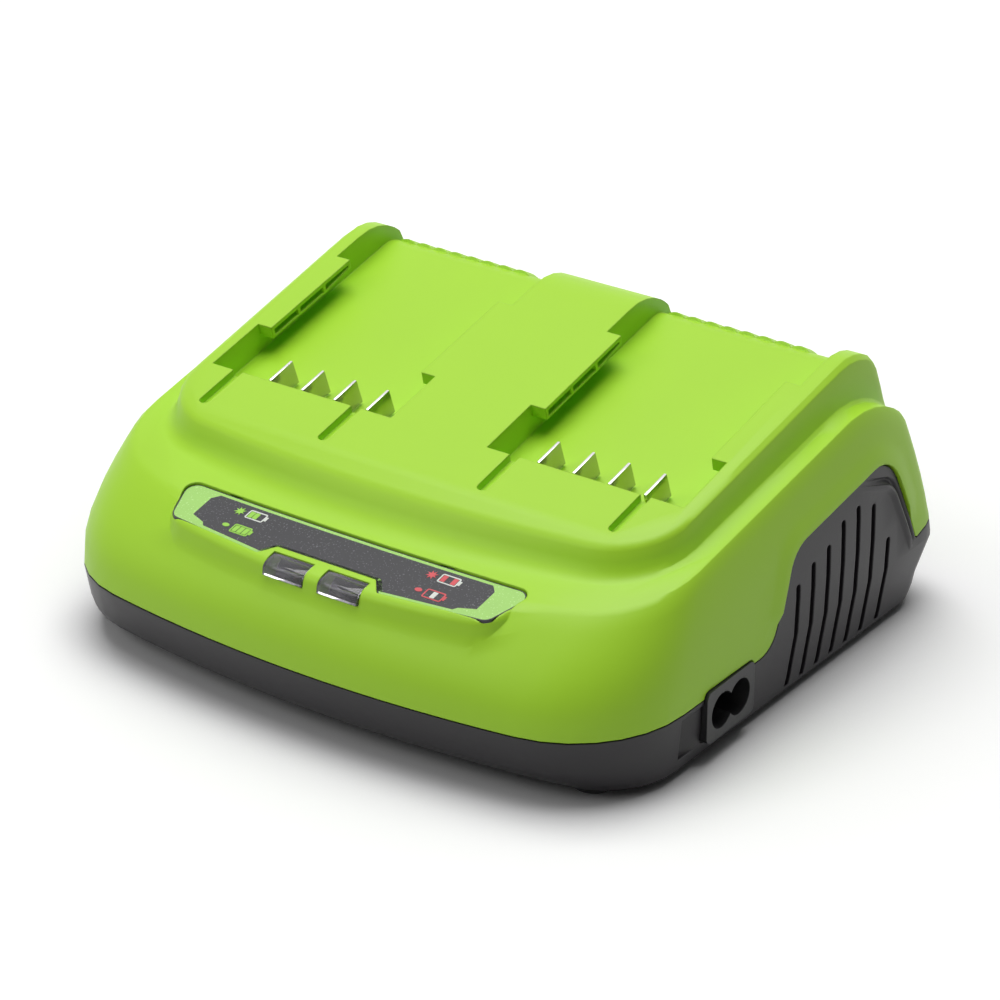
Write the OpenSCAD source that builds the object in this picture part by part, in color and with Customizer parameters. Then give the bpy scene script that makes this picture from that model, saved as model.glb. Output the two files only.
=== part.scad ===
// Twin-bay battery charger for slide-on power tool packs.
// Frame: +Z up, -Y is the front with the indicators, +X is the side with the mains inlet.
// The origin is the middle of the footprint, on the plane that the rubber feet stand on.

/* [Seam between cover and base] */
// Width across the seam at the front corners
seam_w = 174.4; // [160:0.2:190]
// Depth of the seam, front to back
seam_d = 157.6; // [150:0.2:170]
// Height of the seam above the table
seam_h = 18.2; // [16:0.1:20]
// Height of the seam across the back
back_seam_h = 23.5; // [21:0.1:26]
// How far the front of the seam drops back towards the corners
seam_bow = 5; // [2:0.1:9]
// Radius of the seam's front corners
seam_corner_r = 26.5; // [20:0.1:32]
// Radius of the back corners
back_corner_r = 8.5; // [7.5:0.1:12]
// How far the back bows out between its corners
back_bow = 1; // [0.5:0.1:3]
// Growth of each side towards the back, per mm of depth
flare = 0.02; // [0:0.005:0.04]
// Gap that shows at the seam
seam_gap = 0.4; // [0.3:0.05:0.8]

/* [Walls] */
// Wall of both mouldings
wall = 2.5; // [2:0.1:3]
// Floor of the base moulding
base_floor = 2.5; // [2:0.1:3]
// How sharply the wall turns in towards the shelf
wall_curve = 2.4; // [1.8:0.1:3]
// The same at the back
back_curve = 1.5; // [1:0.1:2]

/* [Lower edge of the base] */
// Height of the line where the lower edge starts to turn in
tuck_h = 9.5; // [8:0.1:12]
// Draft of the base wall at the front, from the seam to that line
draft_front = 1.7; // [0.5:0.1:3]
// Draft of the base wall at the sides
draft_side = 0.9; // [0.2:0.1:2]
// Draft of the base wall at the back
draft_back = 5.2; // [2:0.1:6]
// Setback of the underside behind the seam at the front
under_front = 10; // [7:0.1:13]
// Setback of the underside from the seam at the sides
under_side = 1.9; // [1.5:0.1:5]
// Setback of the underside from the seam at the back
under_back = 7.6; // [6.2:0.1:9]
// Corner radius of the underside
under_corner_r = 17; // [14:0.1:24]

/* [Shelf around the deck] */
// Setback of the shelf's edge behind the seam at the front
shelf_front = 12.7; // [10:0.1:16]
// Setback of the shelf's edge from the seam at the sides
shelf_side = 4.6; // [3:0.1:6]
// Setback of the shelf's edge from the seam at the back
shelf_back = 9.2; // [8.6:0.1:11.5]
// How far the shelf's front edge drops back towards the corners
shelf_bow = 12.8; // [9:0.1:16]
// Corner radius of the shelf's edge
shelf_corner_r = 16; // [12:0.1:20]
// Slope of the shelf, degrees
shelf_tilt = 11.3; // [9:0.1:12.5]
// Depth of the shelf below the deck, at the deck's reference line
shelf_drop = 7.2; // [6:0.1:8]
// Radius that carries the shelf over the back edge
shelf_roll_r = 32; // [28:1:50]
// Distance behind the reference line where that roll starts
shelf_roll_from = 68; // [62:0.5:76]

/* [Deck] */
// Setback of the deck's edge behind the seam at the front
deck_front = 35.9; // [33:0.1:38]
// Setback of the deck's edge from the seam at the sides
deck_side = 11.9; // [10:0.1:13]
// Setback of the deck's edge from the seam at the back
deck_back = 15.5; // [14:0.1:17]
// How far the deck's front edge drops back towards the corners
deck_bow = 2.8; // [1:0.1:5]
// Corner radius of the deck's edge
deck_corner_r = 17.6; // [13:0.1:22]
// Slope of the deck, degrees
deck_tilt = 12.56; // [11:0.02:14]
// Distance of the deck's reference line behind the front of the seam
ref_from_front = 46.1; // [44:0.1:48]
// Height of the deck at its reference line
ref_h = 55.5; // [53:0.1:58]
// Distance along the deck from the reference line to the crest's roll
crest_from = 78.2; // [76:0.1:80]
// Radius of the crest's roll
crest_r = 20; // [16:0.5:24]
// Rounding along the deck's edge
deck_edge_r = 1.3; // [0.8:0.1:2]

/* [Battery bays] */
// Distance between the two bays' middles
bay_pitch = 86; // [84:0.2:88]
// Width of a bay between its side walls
bay_w = 56.8; // [54:0.1:58]
// Depth of a bay below the deck
bay_depth = 8.1; // [7:0.1:9]
// Distance of a bay's front wall behind the reference line
bay_from = 13.5; // [12.5:0.1:14.5]
// Where the bay's floor starts to roll down at the back
floor_roll_from = 87.4; // [86:0.2:90]
// Radius of that roll
floor_roll_r = 8; // [6:0.1:10]
// Distance between the grip ribs on the floor's back edge
grip_pitch = 5.3; // [4.5:0.1:6]
// Middle of the row of ribs, from the bay's middle
grip_mid = -5.3; // [-6:0.1:0]
// Number of grip ribs in each bay
grip_n = 8; // [5:1:9]
// Height of a grip rib
grip_h = 0.9; // [0.5:0.1:1.2]

/* [Pack rails] */
// How far a rail overhangs the bay
lip_w = 4.3; // [3.5:0.1:5]
// Thickness of a rail
lip_t = 3.4; // [2.8:0.1:4]
// Front end of a rail, along the deck
lip_from = 32.8; // [30:0.1:35]
// Back end of a rail, along the deck
lip_to = 67.3; // [64:0.1:70]
// Rise of a rail's underside towards its back end
lip_taper = 1; // [0.4:0.1:1.4]
// Number of cored pockets in a rail
core_n = 3; // [2:1:4]
// Web between two pockets
core_web = 1.1; // [0.8:0.1:1.6]
// Skin above a pocket
core_skin = 1.1; // [0.8:0.1:1.3]
// Depth of a pocket
core_depth = 2.6; // [1.5:0.1:3]

/* [Key grooves] */
// Left groove, from the bay's middle
groove_left = 20.1; // [18:0.1:21]
// Right groove, from the bay's middle
groove_right = 17.7; // [16:0.1:21]
// Width of a groove
groove_w = 3.05; // [2:0.05:4]
// Depth of a groove
groove_depth = 2; // [1:0.1:2.3]

/* [Contact blades] */
// Distance between two blades
blade_pitch = 10.23; // [9.5:0.01:10.5]
// Blades in a bay
blade_n = 4; // [2:1:4]
// Thickness of a blade
blade_t = 0.8; // [0.6:0.05:1]
// Height of a blade
blade_h = 7.2; // [6:0.1:7.6]
// How far a blade stands into the bay
blade_out = 10.7; // [9:0.1:12]
// Depth of a blade's tang below its top
tang_drop = 3.2; // [3:0.1:4]
// Slant of a blade's free end
blade_slant = 0.9; // [0:0.1:2]
// Middle of the left bay's row, from the bay's middle
blade_mid_left = 5.1; // [3:0.1:5.5]
// Middle of the right bay's row, from the bay's middle
blade_mid_right = 1.65; // [0:0.05:3]
// Clearance round a blade in the bay's wall
blade_clear = 0.3; // [0.2:0.05:0.5]

/* [Terminal blocks] */
// Width of a terminal block
block_w = 44; // [42:0.1:46]
// Depth of a terminal block, front to back
block_d = 14; // [12:0.1:15]
// Height of a terminal block
block_h = 11; // [10:0.1:13]
// How far a blade reaches into its block
blade_in = 9; // [6:0.1:10]

/* [Indicator pod] */
// Half width of the pod at its back
pod_half_w = 56; // [54.4:0.1:58]
// How far the pod's ends lean in from back to front
pod_lean = 5; // [3:0.1:6]
// Setback of the pod's front edge behind the seam
pod_front = 7.2; // [6:0.1:8]
// How far the pod's front edge drops back towards its ends
pod_bow = 4; // [2:0.1:5]
// Radius over the pod's front edge
pod_edge_r = 2.2; // [1.5:0.1:2.6]
// Corner radius of the pod
pod_corner_r = 8; // [6:0.1:10]
// Height of the pod's face below its rounded edge
pod_drop = 6.6; // [6:0.1:8]

/* [Indicator panel] */
// Half width of the panel at its back edge
panel_half_w = 52.4; // [48:0.1:53]
// Half width of the panel at its front edge
panel_front_half_w = 47.6; // [43:0.1:48]
// Distance of the panel's back edge behind the front of the seam
panel_back = 26.3; // [25:0.1:27]
// Distance of the panel's front corners behind the front of the seam
panel_corner = 12.8; // [12:0.1:14]
// Distance of the panel's front edge beside the notch behind the front of the seam
panel_front = 9.8; // [9.6:0.1:11]
// Half width of the notch at its mouth
notch_half_w = 17.9; // [17:0.1:19]
// Half width of the notch at its top
notch_top_half_w = 14.8; // [14.5:0.1:16]
// Depth of the notch
notch_depth = 4; // [2.5:0.1:4.4]
// How far the panel's back edge bows forward
panel_bow = 0.8; // [0.5:0.1:2]
// Corner radius of the panel
panel_r = 3; // [2:0.1:3.5]
// Depth of the panel's recess
recess = 1.4; // [1.2:0.05:1.8]
// Thickness of the panel
panel_t = 0.8; // [0.6:0.05:1]

/* [Light windows] */
// Width of a window
window_w = 12.2; // [10:0.1:12.6]
// Strip of cover between the two windows
window_gap = 4.2; // [4:0.1:6]
// Length of a window over the pod's top
window_top = 4.9; // [4:0.1:5.2]
// Height of a window down the pod's face
window_face = 3.4; // [2:0.1:4]
// Thickness of a window
window_t = 1.8; // [1.4:0.1:2]

/* [Arched vent panels] */
// Foot of the arch's front side, behind the reference line
arch_from = 28.3; // [26:0.1:30]
// Foot of the arch's back side, behind the reference line
arch_to = 96.4; // [94:0.1:98]
// Slope of the arch's front side, degrees
arch_rise = 66.5; // [60:0.5:72]
// Slope of the arch's top, degrees
arch_slope = 9.8; // [8:0.1:13]
// Slope of the arch's back side, degrees
arch_fall = 65.6; // [60:0.1:70]
// Height of the arch's top above its front foot
arch_h = 32.9; // [31:0.1:35]
// Radius of the arch's two upper corners
arch_r = 11; // [8:0.1:13]
// Radius of the arch's front foot
arch_foot_r = 8; // [5:0.1:10]
// Reach of the brow above the arch
brow_h = 6; // [3:0.1:7]
// How far the brow stands proud
brow_proud = 0.9; // [0.4:0.1:1.4]
// Distance of the ridge inside the arch's back side
ridge_in = 2.6; // [2:0.1:4]
// Start of the ridge, behind the reference line
ridge_from = 69; // [64:0.5:72]
// Fall of the ridge before its turn, degrees
ridge_fall = 17.5; // [10:0.5:25]
// Radius of the ridge's turn
ridge_r = 8; // [5:0.5:10]
// Half height of the ridge
ridge_h = 0.9; // [0.6:0.1:1.4]
// How far the ridge stands proud
ridge_proud = 0.9; // [0.4:0.1:1]
// Half height of the groove behind the ridge
ridge_groove = 1; // [0.6:0.1:1.2]
// Distance between two vents
vent_pitch = 7.05; // [6.6:0.05:7.2]
// Width of a vent
vent_w = 2; // [1.2:0.05:2.4]
// First vent, behind the reference line
vent_from = 40.1; // [39.5:0.1:41]
// Forward lean of the vents' lower ends, degrees
vent_lean = 4; // [0:0.5:8]
// Height of the vents' lower ends
vent_low = 3.6; // [3.2:0.1:5]

/* [Mains inlet] */
// Middle of the inlet, behind the reference line
inlet_y = 9.5; // [8:0.1:11]
// Height of the inlet's middle
inlet_h = 12.85; // [12.7:0.05:14]
// Width of the inlet's frame
inlet_w = 21.2; // [20:0.1:23]
// Height of the inlet's frame
inlet_frame_h = 14; // [12.4:0.1:14.4]
// Depth of the inlet's body
inlet_depth = 20; // [18:0.1:22]
// How far the frame stands proud of the wall
inlet_proud = 0.6; // [0.4:0.1:1.2]
// Radius of each half of the socket
socket_r = 4.7; // [4.4:0.05:4.9]
// Half of the distance between the socket's two halves
socket_half = 3.85; // [3.5:0.05:4.1]
// Depth of the socket
socket_depth = 14; // [12:0.1:15]
// Distance between the two pins
pin_pitch = 8.5; // [8:0.1:9]
// Diameter of a pin
pin_d = 2.36; // [2.2:0.01:2.6]
// Length of a pin inside the socket
pin_len = 9.6; // [8:0.1:11]

/* [Feet] */
// Diameter of a foot
foot_d = 11; // [9:0.1:13]
// Height of the feet below the base
foot_h = 2.5; // [2:0.1:3]
// Depth of a foot's seat in the base
foot_seat = 1; // [0.6:0.1:1.2]
// Distance of the front feet from the middle
foot_x_front = 70.2; // [64:0.1:73]
// Distance of the back feet from the middle
foot_x_back = 70; // [64:0.1:72]
// Front feet, behind the front of the seam
foot_y_front = 24; // [22:0.1:26]
// Back feet, in front of the back of the seam
foot_y_back = 24; // [22:0.1:28]

/* [Circuit board] */
// Width of the board
board_w = 122; // [110:1:124]
// Depth of the board
board_d = 108; // [96:1:110]
// Sideways place of the board's middle
board_x = -6; // [-8:0.5:-4]
// Thickness of the board
board_t = 1.6; // [1:0.1:2]
// Height of the board's posts above the base's floor
post_h = 6.5; // [5.5:0.1:8]
// Diameter of the board's posts
post_d = 7; // [6:0.1:8]
// Screw holes, in from the board's edges
hole_in = 6; // [5:0.1:8]

/* [Parts on the board] */
// Width of the transformer's core
core_w = 42; // [38:0.5:44]
// Depth of the core
core_d = 20; // [18:0.5:22]
// Height of the core
core_h = 34; // [32:0.5:36]
// Width of a limb of the core
core_limb = 6; // [5:0.1:7]
// Width of the winding
winding_w = 28.8; // [27:0.1:29.4]
// Depth of the winding
winding_d = 34; // [30:0.5:36]
// Height of the winding
winding_h = 23.2; // [21:0.1:23.4]
// Mean radius of the choke
choke_r = 7.5; // [6.5:0.1:8]
// Thickness of the choke
choke_t = 7; // [5:0.1:7.4]
// Diameter of a capacitor
cap_d = 20; // [16:0.1:20.5]
// Room above the capacitors
cap_room = 2.2; // [1.5:0.1:6]
// Length of a heatsink
sink_l = 48; // [40:0.5:50]
// Height of a heatsink
sink_h = 32; // [26:0.5:34]
// Thickness of a heatsink's wall
sink_t = 3; // [2.4:0.1:3.4]
// Reach of a heatsink's fins
fin_reach = 8; // [6:0.1:9]
// Length of the fuse
fuse_l = 20; // [18:0.1:21]
// Diameter of the fuse
fuse_d = 5.2; // [4.8:0.1:5.8]

/* [Cooling fan] */
// Side of the fan's square frame
fan_size = 35; // [34:0.5:36]
// Depth of the fan
fan_depth = 12; // [10:0.5:14]
// Diameter of the fan's opening
fan_bore = 32; // [29:0.1:32.4]
// Diameter of the fan's hub
hub_d = 15; // [13:0.1:18]
// Diameter of the fan's shaft
shaft_d = 3; // [2:0.1:4]
// Running clearance round the shaft
shaft_clear = 0.05; // [0.02:0.01:0.09]
// Blades on the fan
fan_blades = 7; // [5:1:9]
// Distance of the fan's screws from its middle, each way
fan_screw = 14.5; // [14:0.1:14.9]

/* [Hidden] */
$fn = 48;
eps = 0.01;
clear = 0.3;

green = [0.58, 0.80, 0.20];
charcoal = [0.20, 0.19, 0.20];
metal = [0.80, 0.80, 0.82];

front_y = -seam_d / 2;
back_y = seam_d / 2;
ref_y = front_y + ref_from_front;
bay_x = [-bay_pitch / 2, bay_pitch / 2];
blade_mid = [blade_mid_left, blade_mid_right];
floor_w = bay_depth + wall;
inner_floor = foot_h + base_floor;
board_z = inner_floor + post_h;
board_top = board_z + board_t;
board_y = 4;
board_left = board_x - board_w / 2;
board_right = board_x + board_w / 2;
board_front = board_y - board_d / 2;
board_back = board_y + board_d / 2;

// --- Outline and height functions ---------------------------------------------------------

// Number of steps along the front, a front corner, a side, a back corner and half of the back
STEPS = [7, 7, 14, 5, 3];

function mix(a, b, t) = a + (b - a) * t;
function unit(v) = v / norm(v);

// An outline is [half width, front, bow, corner radius, back, back corner radius].
SEAM = [seam_w / 2, front_y, seam_bow, seam_corner_r, back_y, back_corner_r];
SHELF = [seam_w / 2 - shelf_side, front_y + shelf_front, shelf_bow, shelf_corner_r,
         back_y - shelf_back, back_corner_r - 1];
DECK = [seam_w / 2 - deck_side, front_y + deck_front, deck_bow, deck_corner_r,
        back_y - deck_back, back_corner_r - 4.5];
TUCK = [seam_w / 2 - draft_side, front_y + draft_front, seam_bow, seam_corner_r - 1,
        back_y - draft_back, back_corner_r];
UNDER = [seam_w / 2 - under_side, front_y + under_front, seam_bow + 1, under_corner_r,
         back_y - under_back, back_corner_r];

function inward(o, w) =
  [o[0] - w, o[1] + w, o[2], max(o[3] - w, 4), o[4] - w, max(o[5] - w, 3)];

// Turn, radius of the bowed front, corner radius and y where the straight side starts
function front_arcs(o) =
  let (
    chord = o[0] - o[3],
    big = (chord * chord + o[2] * o[2]) / (2 * o[2]),
    turn = asin(chord / big),
    r = o[3] / (1 - sin(turn))
  )
  [turn, big, r, o[1] + big * (1 - cos(turn)) + r * cos(turn)];

// Right half of an outline, from the middle of the front to the middle of the back
function half_outline(o, f = flare) =
  let (
    a = front_arcs(o),
    turn = a[0],
    big = a[1],
    r = a[2],
    y1 = a[3],
    y2 = o[4] - back_bow - o[5],
    x2 = o[0] + f * (y2 - y1)
  )
  concat(
    [for (i = [0:STEPS[0] - 1]) let (t = turn * i / STEPS[0]) [big * sin(t), o[1] + big * (1 - cos(t))]],
    [for (i = [0:STEPS[1] - 1]) let (t = mix(turn, 90, i / STEPS[1])) [o[0] - r + r * sin(t), y1 - r * cos(t)]],
    [for (i = [0:STEPS[2] - 1]) let (y = mix(y1, y2, 1 - pow(1 - i / STEPS[2], 1.3))) [o[0] + f * (y - y1), y]],
    [for (i = [0:STEPS[3]]) let (t = 90 * i / STEPS[3]) [x2 - o[5] + o[5] * cos(t), y2 + o[5] * sin(t)]],
    [for (i = [1:STEPS[4]]) let (s = 1 - i / STEPS[4]) [(x2 - o[5]) * s, o[4] - back_bow * s * s]]
  );

// Heights over the depth; d is the distance behind the reference line
crest_d = crest_from * cos(deck_tilt);
crest_y = crest_d + crest_r * sin(deck_tilt);
crest_z = ref_h + crest_d * tan(deck_tilt) - crest_r * cos(deck_tilt);
CREST_END = 54;
crest_end_d = crest_y + crest_r * sin(CREST_END);
crest_end_z = crest_z + crest_r * cos(CREST_END);
function deck_z(d) =
  d < crest_d ? ref_h + d * tan(deck_tilt)
  : d < crest_end_d ? crest_z + sqrt(crest_r * crest_r - pow(d - crest_y, 2))
  : crest_end_z - (d - crest_end_d) * tan(CREST_END + 8);

shelf_roll_y = shelf_roll_from + shelf_roll_r * sin(shelf_tilt);
shelf_roll_z = ref_h - shelf_drop + shelf_roll_from * tan(shelf_tilt) - shelf_roll_r * cos(shelf_tilt);
SHELF_END = 60;
shelf_end_d = shelf_roll_y + shelf_roll_r * sin(SHELF_END);
function shelf_z(d) =
  d < shelf_roll_from ? ref_h - shelf_drop + d * tan(shelf_tilt)
  : d < shelf_end_d ? shelf_roll_z + sqrt(shelf_roll_r * shelf_roll_r - pow(d - shelf_roll_y, 2))
  : shelf_roll_z + shelf_roll_r * cos(SHELF_END) - (d - shelf_end_d) * tan(SHELF_END);

function void_z(d) = min(deck_z(d) - floor_w / cos(deck_tilt), shelf_z(d) - 1.3 * wall);

// Shares of the wall's height that carry a ring
WALL_RINGS = [0, 0.25, 0.45, 0.62, 0.76, 0.88, 0.97];
BASE_RINGS = [0, 0.25, 0.55, 1];

// Outline of the wall at fraction t of the way from the seam to the shelf's edge
function wall_outline(t) =
  [for (i = [0:5]) mix(SEAM[i], SHELF[i], pow(t, i == 4 ? back_curve : wall_curve))];

// Outline below the seam at height z
function base_outline(z) =
  z < tuck_h
  ? [for (i = [0:5]) mix(TUCK[i], UNDER[i], pow((tuck_h - z) / (tuck_h - foot_h), 1.5))]
  : [for (i = [0:5]) mix(SEAM[i], TUCK[i], (seam_h - z) / (seam_h - tuck_h))];

function half_width(o, y) = o[0] + flare * (y - front_arcs(o)[3]);
function below(list, v) = max([for (i = [0:len(list) - 2]) if (i == 0 || list[i] <= v) i]);

// Outer surface of the side wall at depth y and height z, straight from one ring to the next
function side_x(y, z) =
  z < seam_h
  ? let (
      hs = concat([for (t = BASE_RINGS) mix(foot_h, tuck_h, t)], [seam_h]),
      i = below(hs, z)
    )
    mix(half_width(base_outline(hs[i]), y), half_width(base_outline(hs[i + 1]), y),
        (z - hs[i]) / (hs[i + 1] - hs[i]))
  : let (
      t = (z - seam_h) / (shelf_z(y - ref_y) - seam_h),
      i = below(WALL_RINGS, t),
      a = WALL_RINGS[i],
      b = WALL_RINGS[i + 1]
    )
    mix(half_width(wall_outline(a), y), half_width(wall_outline(b), y), (t - a) / (b - a));

function flat_ring(o, z) = [for (p = half_outline(o)) [p[0], p[1], z]];

// Cove from the shelf up to the deck: shares of the way inwards, of the way in from the back, and up
COVE = [[0.06, 0.04, 0], [0.62, 0.1, 0], [0.75, 0.16, 0.07], [0.84, 0.28, 0.25], [0.9, 0.47, 0.5],
        [0.96, 0.78, 0.8], [1, 1, 0.9]];

// Half rings of the housing from its underside to the deck
function body_rings() =
  concat(
    [for (t = BASE_RINGS) flat_ring(base_outline(mix(foot_h, tuck_h, t)), mix(foot_h, tuck_h, t))],
    [for (t = WALL_RINGS)
      [for (p = half_outline(wall_outline(t))) [p[0], p[1], mix(seam_h, shelf_z(p[1] - ref_y), t)]]],
    [for (s = COVE)
      [for (p = half_outline([for (i = [0:5]) mix(SHELF[i], DECK[i], i == 4 ? s[1] : s[0])]))
        [p[0], p[1], mix(shelf_z(p[1] - ref_y), deck_z(p[1] - ref_y), s[2])]]],
    [[for (p = half_outline(inward(DECK, deck_edge_r))) [p[0], p[1], deck_z(p[1] - ref_y)]]]
  );

// Half rings of the hollow inside both mouldings
function void_rings() =
  concat(
    [for (z = [inner_floor, mix(inner_floor, tuck_h, 0.5), tuck_h]) flat_ring(inward(base_outline(z), wall), z)],
    [for (t = [0, 0.35, 0.7, 1])
      [for (p = half_outline(inward(wall_outline(0.9 * t), wall)))
        [p[0], p[1], mix(seam_h, void_z(p[1] - ref_y), t)]]]
  );

// Solid skinned over half rings that are mirrored about X = 0
module loft(rings) {
  m = len(rings[0]) - 1;
  n = 2 * m;
  points = [for (r = rings) each concat(r, [for (i = [m - 1:-1:1]) [-r[i][0], r[i][1], r[i][2]]])];
  top = (len(rings) - 1) * n;
  sides = [for (k = [0:len(rings) - 2], i = [0:n - 1])
    let (a = k * n + i, b = k * n + (i + 1) % n)
    each [[a, a + n, b + n], [a, b + n, b]]];
  cap = [for (i = [0:m - 1]) let (a = i, b = i + 1, c = n - i - 1, d = (n - i) % n)
    each concat(b == c ? [] : [[a, b, c]], a == d ? [] : [[a, c, d]])];
  polyhedron(points, concat(sides, cap, [for (f = cap) [top + f[2], top + f[1], top + f[0]]]), convexity = 8);
}

// Skin over a chain of closed rings with equal numbers of points
module sweep(rings) {
  n = len(rings[0]);
  last = len(rings) - 1;
  polyhedron([for (r = rings) each r], concat(
    [[for (j = [0:n - 1]) j]],
    [[for (j = [n - 1:-1:0]) last * n + j]],
    [for (i = [0:last - 1], j = [0:n - 1])
      let (a = i * n + j, b = i * n + (j + 1) % n)
      each [[a, a + n, b + n], [a, b + n, b]]]));
}

function heading(path, i) = unit(path[min(i + 1, len(path) - 1)] - path[max(i - 1, 0)]);

// Round wire along a list of points
module wire(path, d) {
  sides = 8;
  sweep([for (i = [0:len(path) - 1])
    let (
      v = heading(path, i),
      u = unit(cross(v, abs(v[2]) > 0.9 ? [0, 1, 0] : [0, 0, 1])),
      w = cross(v, u)
    )
    [for (j = [0:sides - 1]) let (t = 360 * j / sides) path[i] + d / 2 * (u * cos(t) + w * sin(t))]]);
}

// Soft swell along side-view points, on the side wall: half its height, and how far it stands proud.
// A negative height above the wall makes it a cutter.
module side_bead(line, rise, proud, root = 1.2) {
  flat = [for (p = line) [0, p[0], p[1]]];
  last = len(line) - 1;
  n = 3;
  sweep([for (i = [0:last])
    let (
      v = heading(flat, i),
      u = cross([1, 0, 0], v),
      k = i == 0 || i == last ? 0 : 1,
      across = [for (j = [-n:n]) flat[i] - sign(proud) * u * rise * j / n]
    )
    concat(
      [for (j = [-n:n]) let (q = across[j + n])
        [side_x(q[1], q[2]) + k * proud * (1 + cos(180 * j / n)) / 2 - sign(proud) * 0.04, q[1], q[2]]],
      [for (j = [n, -n]) let (q = across[j + n]) [side_x(q[1], q[2]) - sign(proud) * root, q[1], q[2]]])]);
}

// Corner p between a and b, rounded to radius r
function corner(a, p, b, r, n = 6) =
  let (
    u = unit(a - p),
    v = unit(b - p),
    half = acos(u * v) / 2,
    c = p + unit(u + v) * r / sin(half),
    s = p + u * r / tan(half) - c,
    e = p + v * r / tan(half) - c,
    a0 = atan2(s[1], s[0]),
    sweep = atan2(s[0] * e[1] - s[1] * e[0], s * e)
  )
  [for (i = [0:n]) c + r * [cos(a0 + sweep * i / n), sin(a0 + sweep * i / n)]];

// Closed outline with every corner rounded; each entry is [point, radius]
function rounded(list) =
  let (n = len(list))
  [for (i = [0:n - 1])
    each list[i][1] == 0 ? [list[i][0]]
      : corner(list[(i + n - 1) % n][0], list[i][0], list[(i + 1) % n][0], list[i][1])];

// Crossing of a line through p at angle a with a line through q at angle b
function meet(p, a, q, b) =
  let (d = q - p, t = (d[0] * sin(b) - d[1] * cos(b)) / (cos(a) * sin(b) - sin(a) * cos(b)))
  p + t * [cos(a), sin(a)];

// --- Placing helpers ----------------------------------------------------------------------

// Deck frame: X across, Y up the deck from the reference line, Z out of the deck
module on_deck() {
  translate([0, ref_y, ref_h]) rotate([deck_tilt, 0, 0]) children();
}

// Extrudes a profile drawn in Y and Z along X, centred
module along_x(w) {
  rotate([90, 0, 90]) linear_extrude(w, center = true) children();
}

// --- Dividing the housing into cover and base ----------------------------------------------

// Points of the arch: front foot, two upper corners, back foot; g grows it
function arch_points(g) =
  let (
    foot_a = [ref_y + arch_from, seam_h],
    foot_b = [ref_y + arch_to, back_seam_h - 3],
    rise_p = foot_a + g * [-sin(arch_rise), cos(arch_rise)],
    fall_p = foot_b + g * [sin(arch_fall), cos(arch_fall)],
    top_p = [ref_y + arch_to - 15, seam_h + arch_h - 15 * tan(arch_slope)]
      + g * [-sin(arch_slope), cos(arch_slope)]
  )
  [meet([0, seam_h + g], 0, rise_p, arch_rise), meet(rise_p, arch_rise, top_p, arch_slope),
   meet(top_p, arch_slope, fall_p, -arch_fall), foot_b + g * [0.3, 0.95]];

// Side view of everything below the seam, with the arches; g grows it
module base_zone(g) {
  q = arch_points(g);
  along_x(3 * seam_w) polygon(rounded([
    [[2 * front_y, -20], 0], [[2 * back_y, -20], 0], [[2 * back_y, back_seam_h + g], 0],
    [[back_y - 5, back_seam_h + g], 4], [q[3], 1], [q[2], arch_r], [q[1], arch_r], [q[0], arch_foot_r],
    [[2 * front_y, seam_h + g], 0]
  ]));
}

// Points a to b in n steps, without b
function steps(a, b, n) = [for (i = [0:n - 1]) mix(a, b, i / n)];

// Brow that swells the cover round the arch
module brows() {
  q = arch_points(0.5);
  c2 = corner(q[3], q[2], q[1], arch_r);
  c1 = corner(q[2], q[1], q[0], arch_r);
  line = concat(
    steps(mix(q[2], q[3], 0.8), c2[0], 3), c2, steps(mix(c2[6], c1[0], 0.2), c1[0], 4), c1,
    steps(mix(c1[6], q[0], 0.15), mix(q[1], q[0], 0.75), 3), [mix(q[1], q[0], 0.75)]);
  for (s = [0, 1]) mirror([s, 0, 0]) side_bead(line, brow_h, brow_proud);
}

// Line on the vent panel, from the arch's top down beside its back side
function ridge_line(inset) =
  let (
    q = arch_points(-inset),
    start = [ref_y + ridge_from, q[2][1] - (q[2][0] - ref_y - ridge_from) * tan(arch_slope) + ridge_in - 0.6],
    turn = meet(start, -ridge_fall, q[2], -arch_fall),
    end = mix(q[2], q[3], 0.95),
    c = corner(start, turn, end, ridge_r)
  )
  concat([start], c, steps(mix(c[6], end, 0.1), end, 4), [end]);

module ridges() {
  for (s = [0, 1]) mirror([s, 0, 0]) side_bead(ridge_line(ridge_in + 0.8), 2 * ridge_h, ridge_proud);
}

module ridge_grooves() {
  for (s = [0, 1]) mirror([s, 0, 0]) side_bead(ridge_line(ridge_in - ridge_h), ridge_groove, -1.1);
}

// --- Bays ---------------------------------------------------------------------------------

// Space above the floor of one bay; the rails stay out of it
module bay_space() {
  high = 30;
  arc = [for (i = [0:8]) let (t = 65 * i / 8)
    [floor_roll_from + floor_roll_r * sin(t), -bay_depth - floor_roll_r * (1 - cos(t))]];
  last = arc[len(arc) - 1];
  difference() {
    along_x(bay_w) polygon(concat(
      [[bay_from, high], [bay_from, -bay_depth]], arc,
      [last + 60 * [cos(65), -sin(65)], [floor_roll_from + 90, high]]));
    for (s = [-1, 1])
      translate([s * (bay_w - lip_w) / 2, 0, 0]) lip_shape(lip_w + eps);
    grip_ribs();
  }
}

lip_taper_from = mix(lip_from, lip_to, 0.68);
module lip_shape(w) {
  along_x(w) polygon([
    [lip_from, 40], [lip_from, -lip_t], [lip_taper_from, -lip_t], [lip_to, -lip_t + lip_taper], [lip_to, 40]]);
}

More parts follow.
